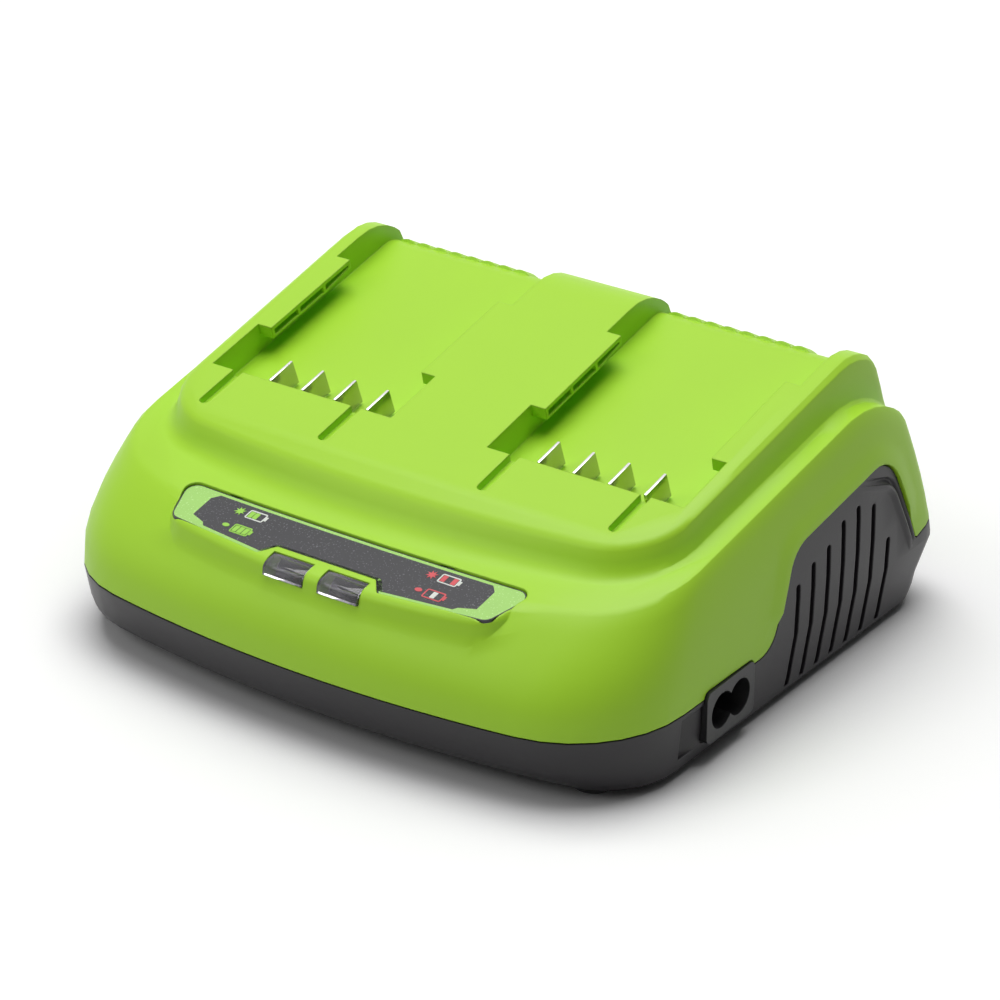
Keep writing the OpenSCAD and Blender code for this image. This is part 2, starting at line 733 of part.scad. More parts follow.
// Cored pockets in the inner face of a rail whose face is at x = 0 and body at +X
module lip_cores() {
  pitch = (lip_to - lip_from - core_web) / core_n;
  low = -lip_t + 0.6;
  for (i = [0:core_n - 1]) {
    a = lip_from + core_web + i * pitch;
    b = a + pitch - core_web;
    lift = i == core_n - 1 ? lip_taper : 0;
    translate([core_depth / 2 - 1, 0, 0]) along_x(core_depth + 2)
      polygon([[a, low], [b, low + lift], [b, -core_skin], [a, -core_skin]]);
  }
}

module grooves() {
  for (x = [-groove_left, groove_right])
    translate([x, 0, -groove_depth]) {
      cylinder(d = groove_w, h = 10);
      translate([-groove_w / 2, 0, 0]) cube([groove_w, bay_from + 1, 10]);
    }
}

// Rounded ribs that run down over the back edge of a bay's floor
module grip_ribs() {
  half = grip_pitch / 2 - 0.1;
  r = (half * half + grip_h * grip_h) / (2 * grip_h);
  for (i = [0:grip_n - 1])
    translate([grip_mid + (i - (grip_n - 1) / 2) * grip_pitch, floor_roll_from, -bay_depth - floor_roll_r])
      rotate([-42, 0, 0]) translate([0, -1.6, floor_roll_r + grip_h - r])
        rotate([-90, 0, 0]) cylinder(r = r, h = 16);
}

// --- Blades and terminal blocks -----------------------------------------------------------

block_to = bay_from - wall - clear;
module blade_row(side, grow, len_in) {
  neck = bay_from + 0.6;
  for (i = [0:blade_n - 1])
    translate([bay_x[side] + blade_mid[side] + (i - (blade_n - 1) / 2) * blade_pitch, 0, 0])
      along_x(blade_t + 2 * grow) polygon([
        [bay_from - len_in, grow - tang_drop], [neck - grow, grow - tang_drop], [neck - grow, grow],
        [bay_from + blade_out - blade_slant + grow, grow],
        [bay_from + blade_out + grow, -blade_h - grow], [bay_from - len_in, -blade_h - grow]]);
}

blade_top = -0.3;
module contact_blades(side) {
  color(metal) on_deck() translate([0, 0, blade_top])
    blade_row(side, 0, wall + clear + blade_in);
}

block_top = -wall - clear;
module terminal_block(side) {
  x = bay_x[side] + blade_mid[side];
  color([0.12, 0.12, 0.13]) on_deck() difference() {
    translate([x - block_w / 2, block_to - block_d, block_top - block_h]) cube([block_w, block_d, block_h]);
    translate([0, 0, blade_top]) blade_row(side, 0, wall + clear + blade_in);
  }
}

// Room for a terminal block under the deck in front of a bay
module block_room(side) {
  x = bay_x[side] + blade_mid[side];
  translate([x - block_w / 2 - 1, block_to - block_d - 1, -floor_w - 4])
    cube([block_w + 2, block_d + 1 + clear, floor_w + 4 - wall]);
}

// --- Pod, panel and windows ---------------------------------------------------------------

pod_top_y = front_y + panel_back;
function pod_z(y) = ref_h - shelf_drop + (y - ref_y) * tan(shelf_tilt);
pod_front_y = front_y + pod_front;

// Half ring of the pod, grown sideways and dropped below its top
function pod_ring(grow, drop) =
  let (o = [pod_half_w - pod_lean + grow, pod_front_y - grow, pod_bow, pod_corner_r + grow, pod_top_y + 6, 4])
  [for (p = half_outline(o, pod_lean / (panel_back - pod_front)))
    [p[0], p[1], pod_z(p[1]) - drop - 0.04 - 0.01 * (p[1] - pod_front_y)]];

POD_EDGE = [80, 60, 40, 20, 0];
// The pod's face below its rounded edge: slope and height of each band, curving out into the wall
POD_FACE = [[80, 2], [66, 2], [55, pod_drop - 4]];
function pod_face(k) =
  k == 0 ? pod_edge_r * [sin(POD_EDGE[0]) - 1, 1 - cos(POD_EDGE[0])]
  : pod_face(k - 1) + POD_FACE[k - 1][1] * [1 / tan(POD_FACE[k - 1][0]), 1];

module pod() {
  low = pod_face(3);
  loft(concat(
    [pod_ring(low[0] - 6, low[1] + 4)],
    [for (k = [3:-1:1]) let (f = pod_face(k)) pod_ring(f[0], f[1])],
    [for (a = POD_EDGE) pod_ring(pod_edge_r * (sin(a) - 1), pod_edge_r * (1 - cos(a)))]));
}

// Outline of the indicator panel, shrunk by g
module panel_plan(g) {
  yb = front_y + panel_back - g;
  yc = front_y + panel_corner + g;
  yf = front_y + panel_front + g;
  n = notch_half_w + g;
  t = notch_top_half_w + g;
  polygon(rounded([
    [[panel_half_w - g, yb], panel_r],
    for (i = [-5:5]) let (x = -i / 6) [[x * panel_half_w, yb - panel_bow * (1 - x * x)], 0],
    [[-panel_half_w + g, yb], panel_r],
    [[-panel_front_half_w + g, yc], panel_r], [[-n, yf], 1], [[-t, yf + notch_depth], 1],
    [[t, yf + notch_depth], 1], [[n, yf], 1], [[panel_front_half_w - g, yc], panel_r]
  ]));
}

// Slab between two heights above the pod's top plane, inside the panel's outline
module panel_slab(g, low, high) {
  intersection() {
    translate([0, 0, seam_h + 8]) linear_extrude(60) panel_plan(g);
    along_x(3 * pod_half_w) polygon([
      [2 * front_y, pod_z(2 * front_y) + low], [0, pod_z(0) + low],
      [0, pod_z(0) + high], [2 * front_y, pod_z(2 * front_y) + high]]);
  }
}

// Window profile over the pod's front edge, g in from its outer skin
module window_profile(g, t) {
  y1 = pod_front_y + window_top - g;
  low = pod_z(pod_front_y) - window_face + g;
  p = [pod_front_y + g * 0.9, pod_z(pod_front_y) - g];
  q = p + [t, -t];
  polygon(concat(
    [[y1, pod_z(y1) - g]],
    corner([y1, pod_z(y1) - g], p, [p[0] - 1, low], pod_edge_r - g),
    [[p[0] - 0.6, low], [q[0] - 0.6, low]],
    [q, [y1, pod_z(y1) - g - t]]));
}

window_x = (window_gap + window_w) / 2;
module window_hole() {
  for (s = [-1, 1]) translate([s * window_x, 0, 0]) {
    along_x(window_w) polygon([
      [pod_front_y - 4, pod_z(pod_front_y) - window_face],
      [pod_front_y + window_top, pod_z(pod_front_y) - window_face],
      [pod_front_y + window_top, pod_z(0)], [pod_front_y - 4, pod_z(0)]]);
    translate([0, pod_front_y + window_top - 1, pod_z(pod_front_y) - window_face - 4])
      cube([window_w - 3, 4, 12], center = true);
  }
}

lamp_at = [[-37, -22.5], [-33, -28], [27, -22.5], [31, -28]];
lamp_base = -floor_w - 0.4;
LAMP_D = 3;

// --- Vents and inlet ----------------------------------------------------------------------

vent_tops = [31.3, 34.4, 36.1, 39.9, 41, 38.8, 26.8];
module vents() {
  for (s = [-1, 1], i = [0:len(vent_tops) - 1])
    translate([s * seam_w / 2, ref_y + vent_from + i * vent_pitch, vent_tops[i]])
      rotate([-vent_lean, 0, 0]) {
        translate([-6, -vent_w / 2, vent_low - vent_tops[i]])
          cube([12, vent_w, vent_tops[i] - vent_low - vent_w / 2]);
        translate([-6, 0, -vent_w / 2]) rotate([0, 90, 0]) cylinder(d = vent_w, h = 12, $fn = 16);
      }
}

inlet_x = half_width(SEAM, ref_y + inlet_y);
inlet_c = [inlet_x, ref_y + inlet_y, inlet_h];

// Figure-8 outline, drawn across and up
module eight(r, half) {
  for (s = [-1, 1]) translate([s * half, 0]) circle(r);
  square([2 * half, 0.9 * r], center = true);
}

module inlet_box(g) {
  translate([inlet_c[0] + inlet_proud - inlet_depth / 2, inlet_c[1], inlet_c[2]])
    cube([inlet_depth, inlet_w - 2 + 2 * g, inlet_frame_h - 2 + 2 * g], center = true);
}

module inlet_frame(g) {
  t = 2 + inlet_proud;
  translate([inlet_c[0] + inlet_proud - t / 2, inlet_c[1], inlet_c[2]])
    rotate([90, 0, 90]) linear_extrude(t, center = true) polygon(rounded([
      for (c = [[-1, -1], [1, -1], [1, 1], [-1, 1]])
        [[c[0] * (inlet_w / 2 + g), c[1] * (inlet_frame_h / 2 + g)], 2]]));
}

// Hollow in the base just in front of the inlet's frame
module inlet_scoop() {
  translate([inlet_c[0] - 0.9, inlet_c[1] - inlet_w / 2, inlet_c[2] - inlet_frame_h / 2])
    rotate([0, 0, -14]) translate([0, -9, 0]) cube([6, 9.3, seam_h - inlet_h + inlet_frame_h / 2 - 1.2]);
}

module mains_inlet() {
  color([0.15, 0.15, 0.16]) difference() {
    union() {
      inlet_box(0);
      inlet_frame(0);
    }
    translate(inlet_c + [inlet_proud - socket_depth, 0, 0])
      rotate([90, 0, 90]) linear_extrude(socket_depth + 1) eight(socket_r, socket_half);
    for (s = [-1, 1])
      translate(inlet_c + [inlet_proud - inlet_depth - 1, s * pin_pitch / 2, 0])
        rotate([0, 90, 0]) cylinder(d = pin_d, h = inlet_depth);
  }
}

PIN_TAIL = 3;
pin_back = inlet_c[0] + inlet_proud - inlet_depth - PIN_TAIL;
module inlet_pins() {
  tip = inlet_c[0] + inlet_proud - socket_depth + pin_len;
  color(metal) for (s = [-1, 1])
    translate([pin_back, inlet_c[1] + s * pin_pitch / 2, inlet_c[2]]) rotate([0, 90, 0]) {
      cylinder(d = pin_d, h = tip - pin_back - 1);
      translate([0, 0, tip - pin_back - 1]) cylinder(d1 = pin_d, d2 = pin_d - 1, h = 1);
    }
}

// --- Screws and posts ---------------------------------------------------------------------

HOUSE_SIDE = 7;
HOUSE_BACK = 6.8;
HOUSE_FRONT = 34;
// Beside the board's left edge at the front, and behind its back edge
house_screw = [for (s = [-1, 1]) each [
  [s * (HOUSE_SIDE - board_left), front_y + HOUSE_FRONT], [s * (board_w / 2 - 3), board_back + HOUSE_BACK]]];
board_hole = [for (x = [-1, 1], y = [-1, 1])
  [board_x + x * (board_w / 2 - hole_in), board_y + y * (board_d / 2 - hole_in)]];
SCREW_D = 3;
HEAD_D = 5.6;

foot_at = [for (s = [-1, 1]) each [
  [s * foot_x_front, front_y + foot_y_front], [s * foot_x_back, back_y - foot_y_back]]];

// --- Fan ----------------------------------------------------------------------------------

FAN_BOSS = 3.2;
fan_c = [seam_w / 2 - wall - FAN_BOSS - fan_depth / 2, ref_y + vent_from + 3.5 * vent_pitch,
         inner_floor + 2 + fan_size / 2];
module at_fan() {
  translate(fan_c) rotate([0, 90, 0]) children();
}

module at_fan_screws() {
  at_fan() for (x = [-1, 1], y = [-1, 1]) translate([x * fan_screw, y * fan_screw, 0]) children();
}

module fan_frame() {
  strut = 2.2;
  color([0.13, 0.13, 0.14]) at_fan() {
    difference() {
      translate([0, 0, -fan_depth / 2]) linear_extrude(fan_depth) difference() {
        square(fan_size, center = true);
        circle(d = fan_bore);
        for (x = [-1, 1], y = [-1, 1]) translate([x, y] * fan_screw) circle(d = SCREW_D + 0.4);
      }
    }
    translate([0, 0, -fan_depth / 2]) difference() {
      union() {
        cylinder(d = hub_d, h = strut);
        for (a = [45, 135]) rotate(a) translate([-fan_bore / 2 - 0.5, -1.5, 0]) cube([fan_bore + 1, 3, strut]);
      }
      translate([0, 0, -1]) cylinder(d = shaft_d + 2 * shaft_clear, h = strut + 2);
    }
  }
}

module fan_rotor() {
  low = -fan_depth / 2 + 2.2 + clear;
  h = fan_depth - 2.2 - clear - 0.5;
  reach = fan_bore / 2 - 0.6;
  color([0.10, 0.10, 0.11]) at_fan() {
    translate([0, 0, low]) cylinder(d = hub_d, h = h);
    translate([0, 0, -fan_depth / 2 + 0.2]) cylinder(d = shaft_d, h = fan_depth / 2);
    for (i = [0:fan_blades - 1]) rotate(i * 360 / fan_blades)
      translate([0, 0, low + h / 2]) rotate([35, 0, 0])
        translate([hub_d / 2 - 1, -0.6, -h / 2 * 0.8]) cube([reach - hub_d / 2 + 1 - 0.8, 1.2, h * 0.8]);
  }
}

module fan_screws() {
  color(metal) at_fan_screws() translate([0, 0, -fan_depth / 2 - 1.6]) {
    cylinder(d = HEAD_D - 0.4, h = 1.6);
    cylinder(d = SCREW_D, h = fan_depth + 1.6 + 3);
  }
}

// --- Housing ------------------------------------------------------------------------------

module top_cover() {
  color(green) difference() {
    union() {
      loft(body_rings());
      pod();
      brows();
    }
    base_zone(seam_gap);
    difference() {
      loft(void_rings());
      // Towers that take the housing screws
      for (p = house_screw) translate([p[0], p[1], seam_h]) cylinder(d = 7, h = 60);
    }
    on_deck() {
      for (x = bay_x) translate([x, 0, 0]) {
        bay_space();
        grooves();
        translate([-bay_w / 2 + lip_w, 0, 0]) mirror([1, 0, 0]) lip_cores();
        translate([bay_w / 2 - lip_w, 0, 0]) lip_cores();
      }
      for (side = [0, 1]) {
        block_room(side);
        translate([0, 0, blade_top]) blade_row(side, blade_clear, wall + clear + blade_in);
      }
      for (p = lamp_at) translate([p[0], p[1], lamp_base - 2]) cylinder(d = LAMP_D + 1, h = 6);
    }
    panel_slab(0, -recess, 30);
    window_hole();
    inlet_frame(clear);
    inlet_box(clear);
    for (p = house_screw) translate([p[0], p[1], 0]) cylinder(d = SCREW_D, h = seam_h + 14);
  }
}

module base_tray() {
  color(charcoal) difference() {
    union() {
      difference() {
        intersection() {
          loft(body_rings());
          base_zone(0);
        }
        loft(void_rings());
      }
      for (p = house_screw) translate([p[0], p[1], foot_h + 0.5]) cylinder(d = 9, h = seam_h - foot_h - 1);
      for (p = board_hole) translate([p[0], p[1], foot_h + 1]) cylinder(d = post_d, h = base_floor - 1 + post_h);
      at_fan_screws() translate([0, 0, fan_depth / 2]) cylinder(d = 4.8, h = FAN_BOSS + 1.6);
      intersection() {
        ridges();
        base_zone(0);
      }
    }
    at_fan_screws() cylinder(d = SCREW_D, h = fan_depth / 2 + 3.2);
    vents();
    inlet_frame(clear);
    inlet_box(clear);
    inlet_scoop();
    ridge_grooves();
    for (p = foot_at) translate([p[0], p[1], foot_h - 1]) cylinder(d = foot_d + 0.2, h = foot_seat + 1);
    for (p = house_screw) translate([p[0], p[1], 0]) {
      cylinder(d = SCREW_D + 0.6, h = seam_h + 2);
      cylinder(d = HEAD_D + 1, h = foot_h + 5);
    }
    for (p = board_hole) translate([p[0], p[1], inner_floor]) cylinder(d = SCREW_D, h = post_h + 1);
  }
}

module indicator_panel() {
  color([0.33, 0.33, 0.35]) difference() {
    panel_slab(0.15, -recess, panel_t - recess);
  }
}

module light_window(side) {
  color([0.85, 0.95, 0.9, 0.5])
    translate([side == 0 ? -window_x : window_x, 0, 0]) along_x(window_w - 0.3) window_profile(0.2, window_t);
}

module rubber_feet() {
  color([0.1, 0.1, 0.1]) for (p = foot_at) translate([p[0], p[1], 0]) {
    cylinder(d1 = foot_d - 1.5, d2 = foot_d, h = 0.8);
    translate([0, 0, 0.8]) cylinder(d = foot_d, h = foot_h + foot_seat - 0.8);
  }
}

module housing_screws() {
  color(metal) for (p = house_screw) translate([p[0], p[1], foot_h + 5 - 2]) {
    cylinder(d = HEAD_D, h = 2);
    cylinder(d = SCREW_D, h = seam_h + 10 - foot_h - 3);
  }
}

// --- Inside -------------------------------------------------------------------------------

module main_board() {
  color([0.1, 0.35, 0.2]) difference() {
    translate([board_x - board_w / 2, board_y - board_d / 2, board_z]) cube([board_w, board_d, board_t]);
    for (p = board_hole) translate([p[0], p[1], board_z - 1]) cylinder(d = SCREW_D + 0.4, h = board_t + 2);
  }
}

module board_screws() {
  color(metal) for (p = board_hole) translate([p[0], p[1], board_top]) {
    cylinder(d = HEAD_D, h = 1.6);
    translate([0, 0, -board_t - 5]) cylinder(d = SCREW_D, h = board_t + 5);
  }
}

module insulation_sheet() {
  color([0.9, 0.9, 0.86]) difference() {
    translate([board_x - board_w / 2, board_y - board_d / 2, inner_floor]) cube([board_w, board_d, 0.4]);
    for (p = board_hole) translate([p[0], p[1], inner_floor - 1]) cylinder(d = post_d + 0.6, h = 3);
  }
}

core_at = [board_x - 8, board_back - 34, board_top];
module transformer_core() {
  slot = (core_w - 4 * core_limb) / 2;
  color([0.22, 0.21, 0.22]) translate(core_at) difference() {
    translate([-core_w / 2, -core_d / 2, 0]) cube([core_w, core_d, core_h]);
    for (s = [-1, 1]) translate([s * (core_limb + slot / 2) - slot / 2, -core_d / 2 - 1, core_limb - 1])
      cube([slot, core_d + 2, core_h - 2 * core_limb + 2]);
  }
}

module transformer_winding() {
  inner = 2 * core_limb + 0.6;
  color([0.80, 0.62, 0.15]) translate(core_at + [0, 0, core_limb - 0.6]) difference() {
    translate([-winding_w / 2, -winding_d / 2, 0]) cube([winding_w, winding_d, winding_h]);
    translate([-inner / 2, -core_d / 2 - 0.3, -1]) cube([inner, core_d + 0.6, winding_h + 2]);
  }
}

module line_choke() {
  color([0.75, 0.42, 0.16]) translate([board_left + 13, board_front + 17, board_top + choke_r + choke_t / 2])
    rotate([0, 90, 0]) rotate_extrude() translate([choke_r, 0]) circle(d = choke_t);
}

cap_y = board_front + 16;
cap_at = [[board_right - 59, cap_y], [board_right - 37, cap_y]];
block_low = ref_h + (block_to - block_d) * sin(deck_tilt) + (block_top - block_h) * cos(deck_tilt);
cap_h = block_low - cap_room - board_top;
module bulk_capacitors() {
  color([0.12, 0.12, 0.16]) for (p = cap_at) translate([p[0], p[1], board_top]) cylinder(d = cap_d, h = cap_h);
}

sink_x = [board_left + 17, board_right - 15];
sink_y = core_at[1];
FINS = 6;
module heatsink(side) {
  color([0.65, 0.66, 0.68]) translate([sink_x[side], sink_y, board_top]) {
    translate([-sink_t / 2, -sink_l / 2, 0]) cube([sink_t, sink_l, sink_h]);
    for (i = [0:FINS - 1]) translate([side == 0 ? -sink_t / 2 - fin_reach : sink_t / 2 - 0.5,
                                      -sink_l / 2 + 1 + i * (sink_l - 4) / (FINS - 1), 0])
      cube([fin_reach + 0.5, 2, sink_h]);
  }
}

module power_transistors() {
  t = 4.6;
  color([0.08, 0.08, 0.09]) for (y = [-12, 12], side = [0, 1])
    translate([sink_x[side] + (side == 0 ? sink_t / 2 : -sink_t / 2 - t), sink_y + y - 8, board_top + 6])
      cube([t, 16, 20]);
}

fuse_y = board_front + 14;
module fuse() {
  x = board_right - 24;
  color([0.85, 0.8, 0.7]) translate([x, fuse_y, board_top + 3])
    rotate([0, 90, 0]) cylinder(d = fuse_d, h = fuse_l);
  color(metal) for (k = [-1, fuse_l - 3]) translate([x + k, fuse_y - 3, board_top]) cube([4, 6, 3]);
}

module mains_leads() {
  color([0.15, 0.3, 0.7]) for (s = [-1, 1]) {
    y = inlet_c[1] + s * pin_pitch / 2;
    land = [board_right - 4, fuse_y + 5.55 + (s + 1) / 2 * pin_pitch, board_top];
    wire([[pin_back - 0.1, y, inlet_c[2]], [pin_back - 1.3, y, inlet_c[2]], [pin_back - 1.5, y, inlet_c[2] + 2],
          land + [0, 0, 4], land], 2.2);
  }
}

module output_leads(side) {
  x = bay_x[side] + blade_mid[side];
  y = block_to - block_d / 2;
  z = block_top - block_h;
  b = [x, ref_y + y * cos(deck_tilt) - z * sin(deck_tilt), ref_h + y * sin(deck_tilt) + z * cos(deck_tilt)];
  land_y = (cap_y + core_at[1]) / 2 - 3.7;
  color([0.7, 0.1, 0.1]) for (s = [-1, 1])
    wire([b + [s * 6, 0, -0.35], b + [s * 6, 0, -5], [x * 0.6 + s * 4, land_y, board_top + 6],
          [x * 0.6 + s * 4, land_y, board_top]], 2.6);
}

module indicator_board() {
  color([0.1, 0.35, 0.2]) on_deck() difference() {
    translate([-42, -31, lamp_base - 1.2]) cube([84, 11, 1.2]);
  }
}

module status_lamps() {
  color([0.8, 0.9, 0.7]) on_deck() for (p = lamp_at)
    translate([p[0], p[1], lamp_base]) cylinder(d = LAMP_D, h = 2.6);
}

top_cover();
base_tray();
indicator_panel();
light_window(0);  // light_window_left
light_window(1);  // light_window_right
contact_blades(0);  // contact_blades_left
contact_blades(1);  // contact_blades_right
terminal_block(0);  // terminal_block_left
terminal_block(1);  // terminal_block_right
mains_inlet();
inlet_pins();
main_board();
indicator_board();
status_lamps();
transformer_core();
transformer_winding();
line_choke();
bulk_capacitors();
heatsink(0);  // heatsink_left
heatsink(1);  // heatsink_right
power_transistors();
fuse();
insulation_sheet();
mains_leads();
output_leads(0);  // output_leads_left
output_leads(1);  // output_leads_right
board_screws();
fan_frame();
fan_rotor();
fan_screws();
housing_screws();
rubber_feet();
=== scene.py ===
# %% [markdown]
# # A twin-bay battery charger
#
# A slide-on pack charger is a thin two-part moulding: a green cover that carries the bays, and a dark
# tray under it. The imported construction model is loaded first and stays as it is, as the fixed frame.
# Everything that this lesson adds is a finish for one of its parts, or a finer piece that stands in for
# one.

import math

import bmesh
import bpy
from mathutils import Matrix, Vector


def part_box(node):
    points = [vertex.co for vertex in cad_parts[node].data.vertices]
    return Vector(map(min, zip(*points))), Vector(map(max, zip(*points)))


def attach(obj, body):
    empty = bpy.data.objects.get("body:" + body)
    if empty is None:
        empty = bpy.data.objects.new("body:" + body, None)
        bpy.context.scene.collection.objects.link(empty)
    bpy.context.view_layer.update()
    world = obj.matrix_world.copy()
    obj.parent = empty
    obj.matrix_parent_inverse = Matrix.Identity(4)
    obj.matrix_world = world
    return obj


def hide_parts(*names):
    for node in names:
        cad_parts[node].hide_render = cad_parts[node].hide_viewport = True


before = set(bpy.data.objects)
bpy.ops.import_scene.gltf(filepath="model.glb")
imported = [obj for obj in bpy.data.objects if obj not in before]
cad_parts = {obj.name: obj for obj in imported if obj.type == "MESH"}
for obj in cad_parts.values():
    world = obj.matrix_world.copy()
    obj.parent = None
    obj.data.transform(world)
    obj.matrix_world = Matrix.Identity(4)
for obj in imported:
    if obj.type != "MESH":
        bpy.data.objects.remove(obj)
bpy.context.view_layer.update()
MM = 0.001
print("the frame's nodes:", len(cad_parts))

# %% [markdown]
# ## The camera
#
# The view is a calm three-quarter one from the front right, a little above. A long lens keeps the sides
# nearly parallel, as in a catalogue. The place and the turn are given as numbers, so that nothing depends
# on helpers that look at the render size.

# %% Camera
AZIMUTH, ELEVATION = math.radians(35.14), math.radians(26.59)
CAMERA_PLACE = (0.4587, -0.6449, 0.4280)
LENS_MM, SENSOR_MM = 126, 36

level = math.cos(ELEVATION)
back = Vector((math.sin(AZIMUTH) * level, -math.cos(AZIMUTH) * level, math.sin(ELEVATION)))
right = Vector((math.cos(AZIMUTH), math.sin(AZIMUTH), 0))
up = back.cross(right)
turn = Matrix((right, up, back)).transposed().to_4x4()

lens = bpy.data.cameras.new("camera")
lens.lens, lens.sensor_width = LENS_MM, SENSOR_MM
lens.clip_start, lens.clip_end = 0.05, 20
camera = bpy.data.objects.new("camera", lens)
bpy.context.scene.collection.objects.link(camera)
camera.matrix_world = Matrix.Translation(CAMERA_PLACE) @ turn
bpy.context.scene.camera = camera
bpy.context.scene.view_settings.view_transform = "Standard"
print("camera at", [round(v, 3) for v in camera.location])

# %% [markdown]
# ## Shader sums as Python
#
# A node tree is easier to read as a formula. `Amount` wraps one output socket, so `grain * 0.1 + 0.4`
# adds the two Math nodes that it needs. `Finish` holds one material, and its `add` makes any other node
# from its type, its settings and what feeds its sockets.

# %% Amount and Finish
class Amount:
    """One node output that takes part in sums."""

    def __init__(self, finish, socket):
        self.finish, self.socket = finish, socket

    def math(self, operation, *others):
        inputs = dict(enumerate((self, *others)))
        return self.finish.add("ShaderNodeMath", {"operation": operation}, inputs)

    def __add__(self, other):
        return self.math("ADD", other)

    def __mul__(self, other):
        return self.math("MULTIPLY", other)


class Finish:
    """One material: its Principled shader, and the nodes that feed it."""

    def __init__(self, name, **constants):
        self.material = bpy.data.materials.new(name)
        self.material.use_nodes = True
        self.nodes, self.links = self.material.node_tree.nodes, self.material.node_tree.links
        self.shader = next(n for n in self.nodes if n.type == "BSDF_PRINCIPLED")
        self.place = self.add("ShaderNodeTexCoord", out="Object")
        self.paint(**constants)

    def feed(self, socket, value):
        """Links a wrapped output to a socket, or sets its constant."""
        if isinstance(value, Amount):
            self.links.new(value.socket, socket)
        else:
            socket.default_value = value

    def add(self, kind, settings=None, values=None, out=0):
        """Makes a node and returns one of its outputs; `stops` fills a colour ramp with greys."""
        node = self.nodes.new(kind)
        for key, value in (settings or {}).items():
            if key == "stops":
                ramp = node.color_ramp.elements
                while len(ramp) < len(value):
                    ramp.new(0.5)
                for stop, (position, shade) in zip(ramp, value):
                    stop.position, stop.color = position, (*[shade] * 3, 1)
            else:
                setattr(node, key, value)
        for key, value in (values or {}).items():
            self.feed(node.inputs[key], value)
        return Amount(self, node.outputs[out])

    def noise(self, size, detail=2.0, stretch=None):
        """Noise whose lumps are about `size` metres across."""
        place = self.place
        if stretch:
            place = self.add("ShaderNodeMapping", None, {"Vector": place, "Scale": stretch})
        values = {"Vector": place, "Scale": 1 / size, "Detail": detail}
        return self.add("ShaderNodeTexNoise", None, values)

    def blend(self, amount, first, second):
        """The first colour where the amount is 0, and the second where it is 1."""
        return self.add("ShaderNodeMix", {"data_type": "RGBA"}, {0: amount, 6: first, 7: second}, out=2)

    def rounded_edges(self, radius):
        """A normal that turns smoothly over every edge."""
        return self.add("ShaderNodeBevel", {"samples": 6}, {"Radius": radius})

    def bump(self, height, depth, under=None):
        """Relief `depth` metres deep, on top of the normal `under`."""
        values = {"Height": height, "Distance": depth, "Strength": 1.0}
        if under is not None:
            values["Normal"] = under
        self.feed(self.shader.inputs["Normal"], self.add("ShaderNodeBump", None, values))

    def paint(self, **sockets):
        """Feeds the shader's sockets by name, and returns the material."""
        for socket, value in sockets.items():
            self.feed(self.shader.inputs[socket.replace("_", " ")], value)
        return self.material


def linear(code):
    """A web colour as linear red, green, blue and alpha."""
    parts = [int(code[i:i + 2], 16) / 255 for i in (0, 2, 4)]
    return (*[c / 12.92 if c <= 0.04045 else ((c + 0.055) / 1.055) ** 2.4 for c in parts], 1)


def shaded(color, share):
    """A colour made darker or lighter by a factor."""
    return (*[c * share for c in color[:3]], 1)


print("shader kit ready")

# %% [markdown]
# ## Floor and backdrop
#
# A product stands on a white sweep. The floor here is one wide plane that takes the object's shadow.
# Where the camera, a reflection or a clear window looks at it, a small glow lifts it to white. The glow
# fades out where the object stands close, which paints a deeper contact shadow into the floor, and it
# grows with distance, where the lamps fade. The world is white to the same rays, and almost dark to
# everything else.

# %% Floor and world
def white_to_eyes(tree):
    """A factor of one for camera, glossy and transmission rays, and of zero for the others."""
    path = tree.nodes.new("ShaderNodeLightPath")
    first = tree.nodes.new("ShaderNodeMath")
    second = tree.nodes.new("ShaderNodeMath")
    first.operation = second.operation = "MAXIMUM"
    tree.links.new(path.outputs["Is Camera Ray"], first.inputs[0])
    tree.links.new(path.outputs["Is Glossy Ray"], first.inputs[1])
    tree.links.new(first.outputs[0], second.inputs[0])
    tree.links.new(path.outputs["Is Transmission Ray"], second.inputs[1])
    return second.outputs[0]


FLOOR_COLOR, FLOOR_SIZE = 0.86, 6
# The floor lies this far under the feet, in mm, so that the two faces don't fight
FLOOR_DROP = 0.05
# The glow is GLOW within NEAR metres of the middle, and 1 from FAR metres on
GLOW, NEAR, FAR = 0.35, 0.45, 2.2
# The glow fades where the object is within this many metres, by this power of the occlusion, which paints
# the contact shadow deeper
PAINTED_SHADOW_REACH, PAINTED_SHADOW_POWER = 0.12, 3.0

bm = bmesh.new()
bmesh.ops.create_grid(bm, x_segments=1, y_segments=1, size=FLOOR_SIZE)
bmesh.ops.translate(bm, verts=bm.verts, vec=(0, 0, -FLOOR_DROP * MM))
floor_mesh = bpy.data.meshes.new("floor")
bm.to_mesh(floor_mesh)
bm.free()
floor = bpy.data.objects.new("floor", floor_mesh)
bpy.context.scene.collection.objects.link(floor)
sweep = bpy.data.materials.new("white_sweep")
sweep.use_nodes = True
tree = sweep.node_tree
shader = next(n for n in tree.nodes if n.type == "BSDF_PRINCIPLED")
shader.inputs["Base Color"].default_value = (FLOOR_COLOR,) * 3 + (1,)
shader.inputs["Roughness"].default_value = 0.9
shader.inputs["Specular IOR Level"].default_value = 0.1
shader.inputs["Emission Color"].default_value = (1, 1, 1, 1)
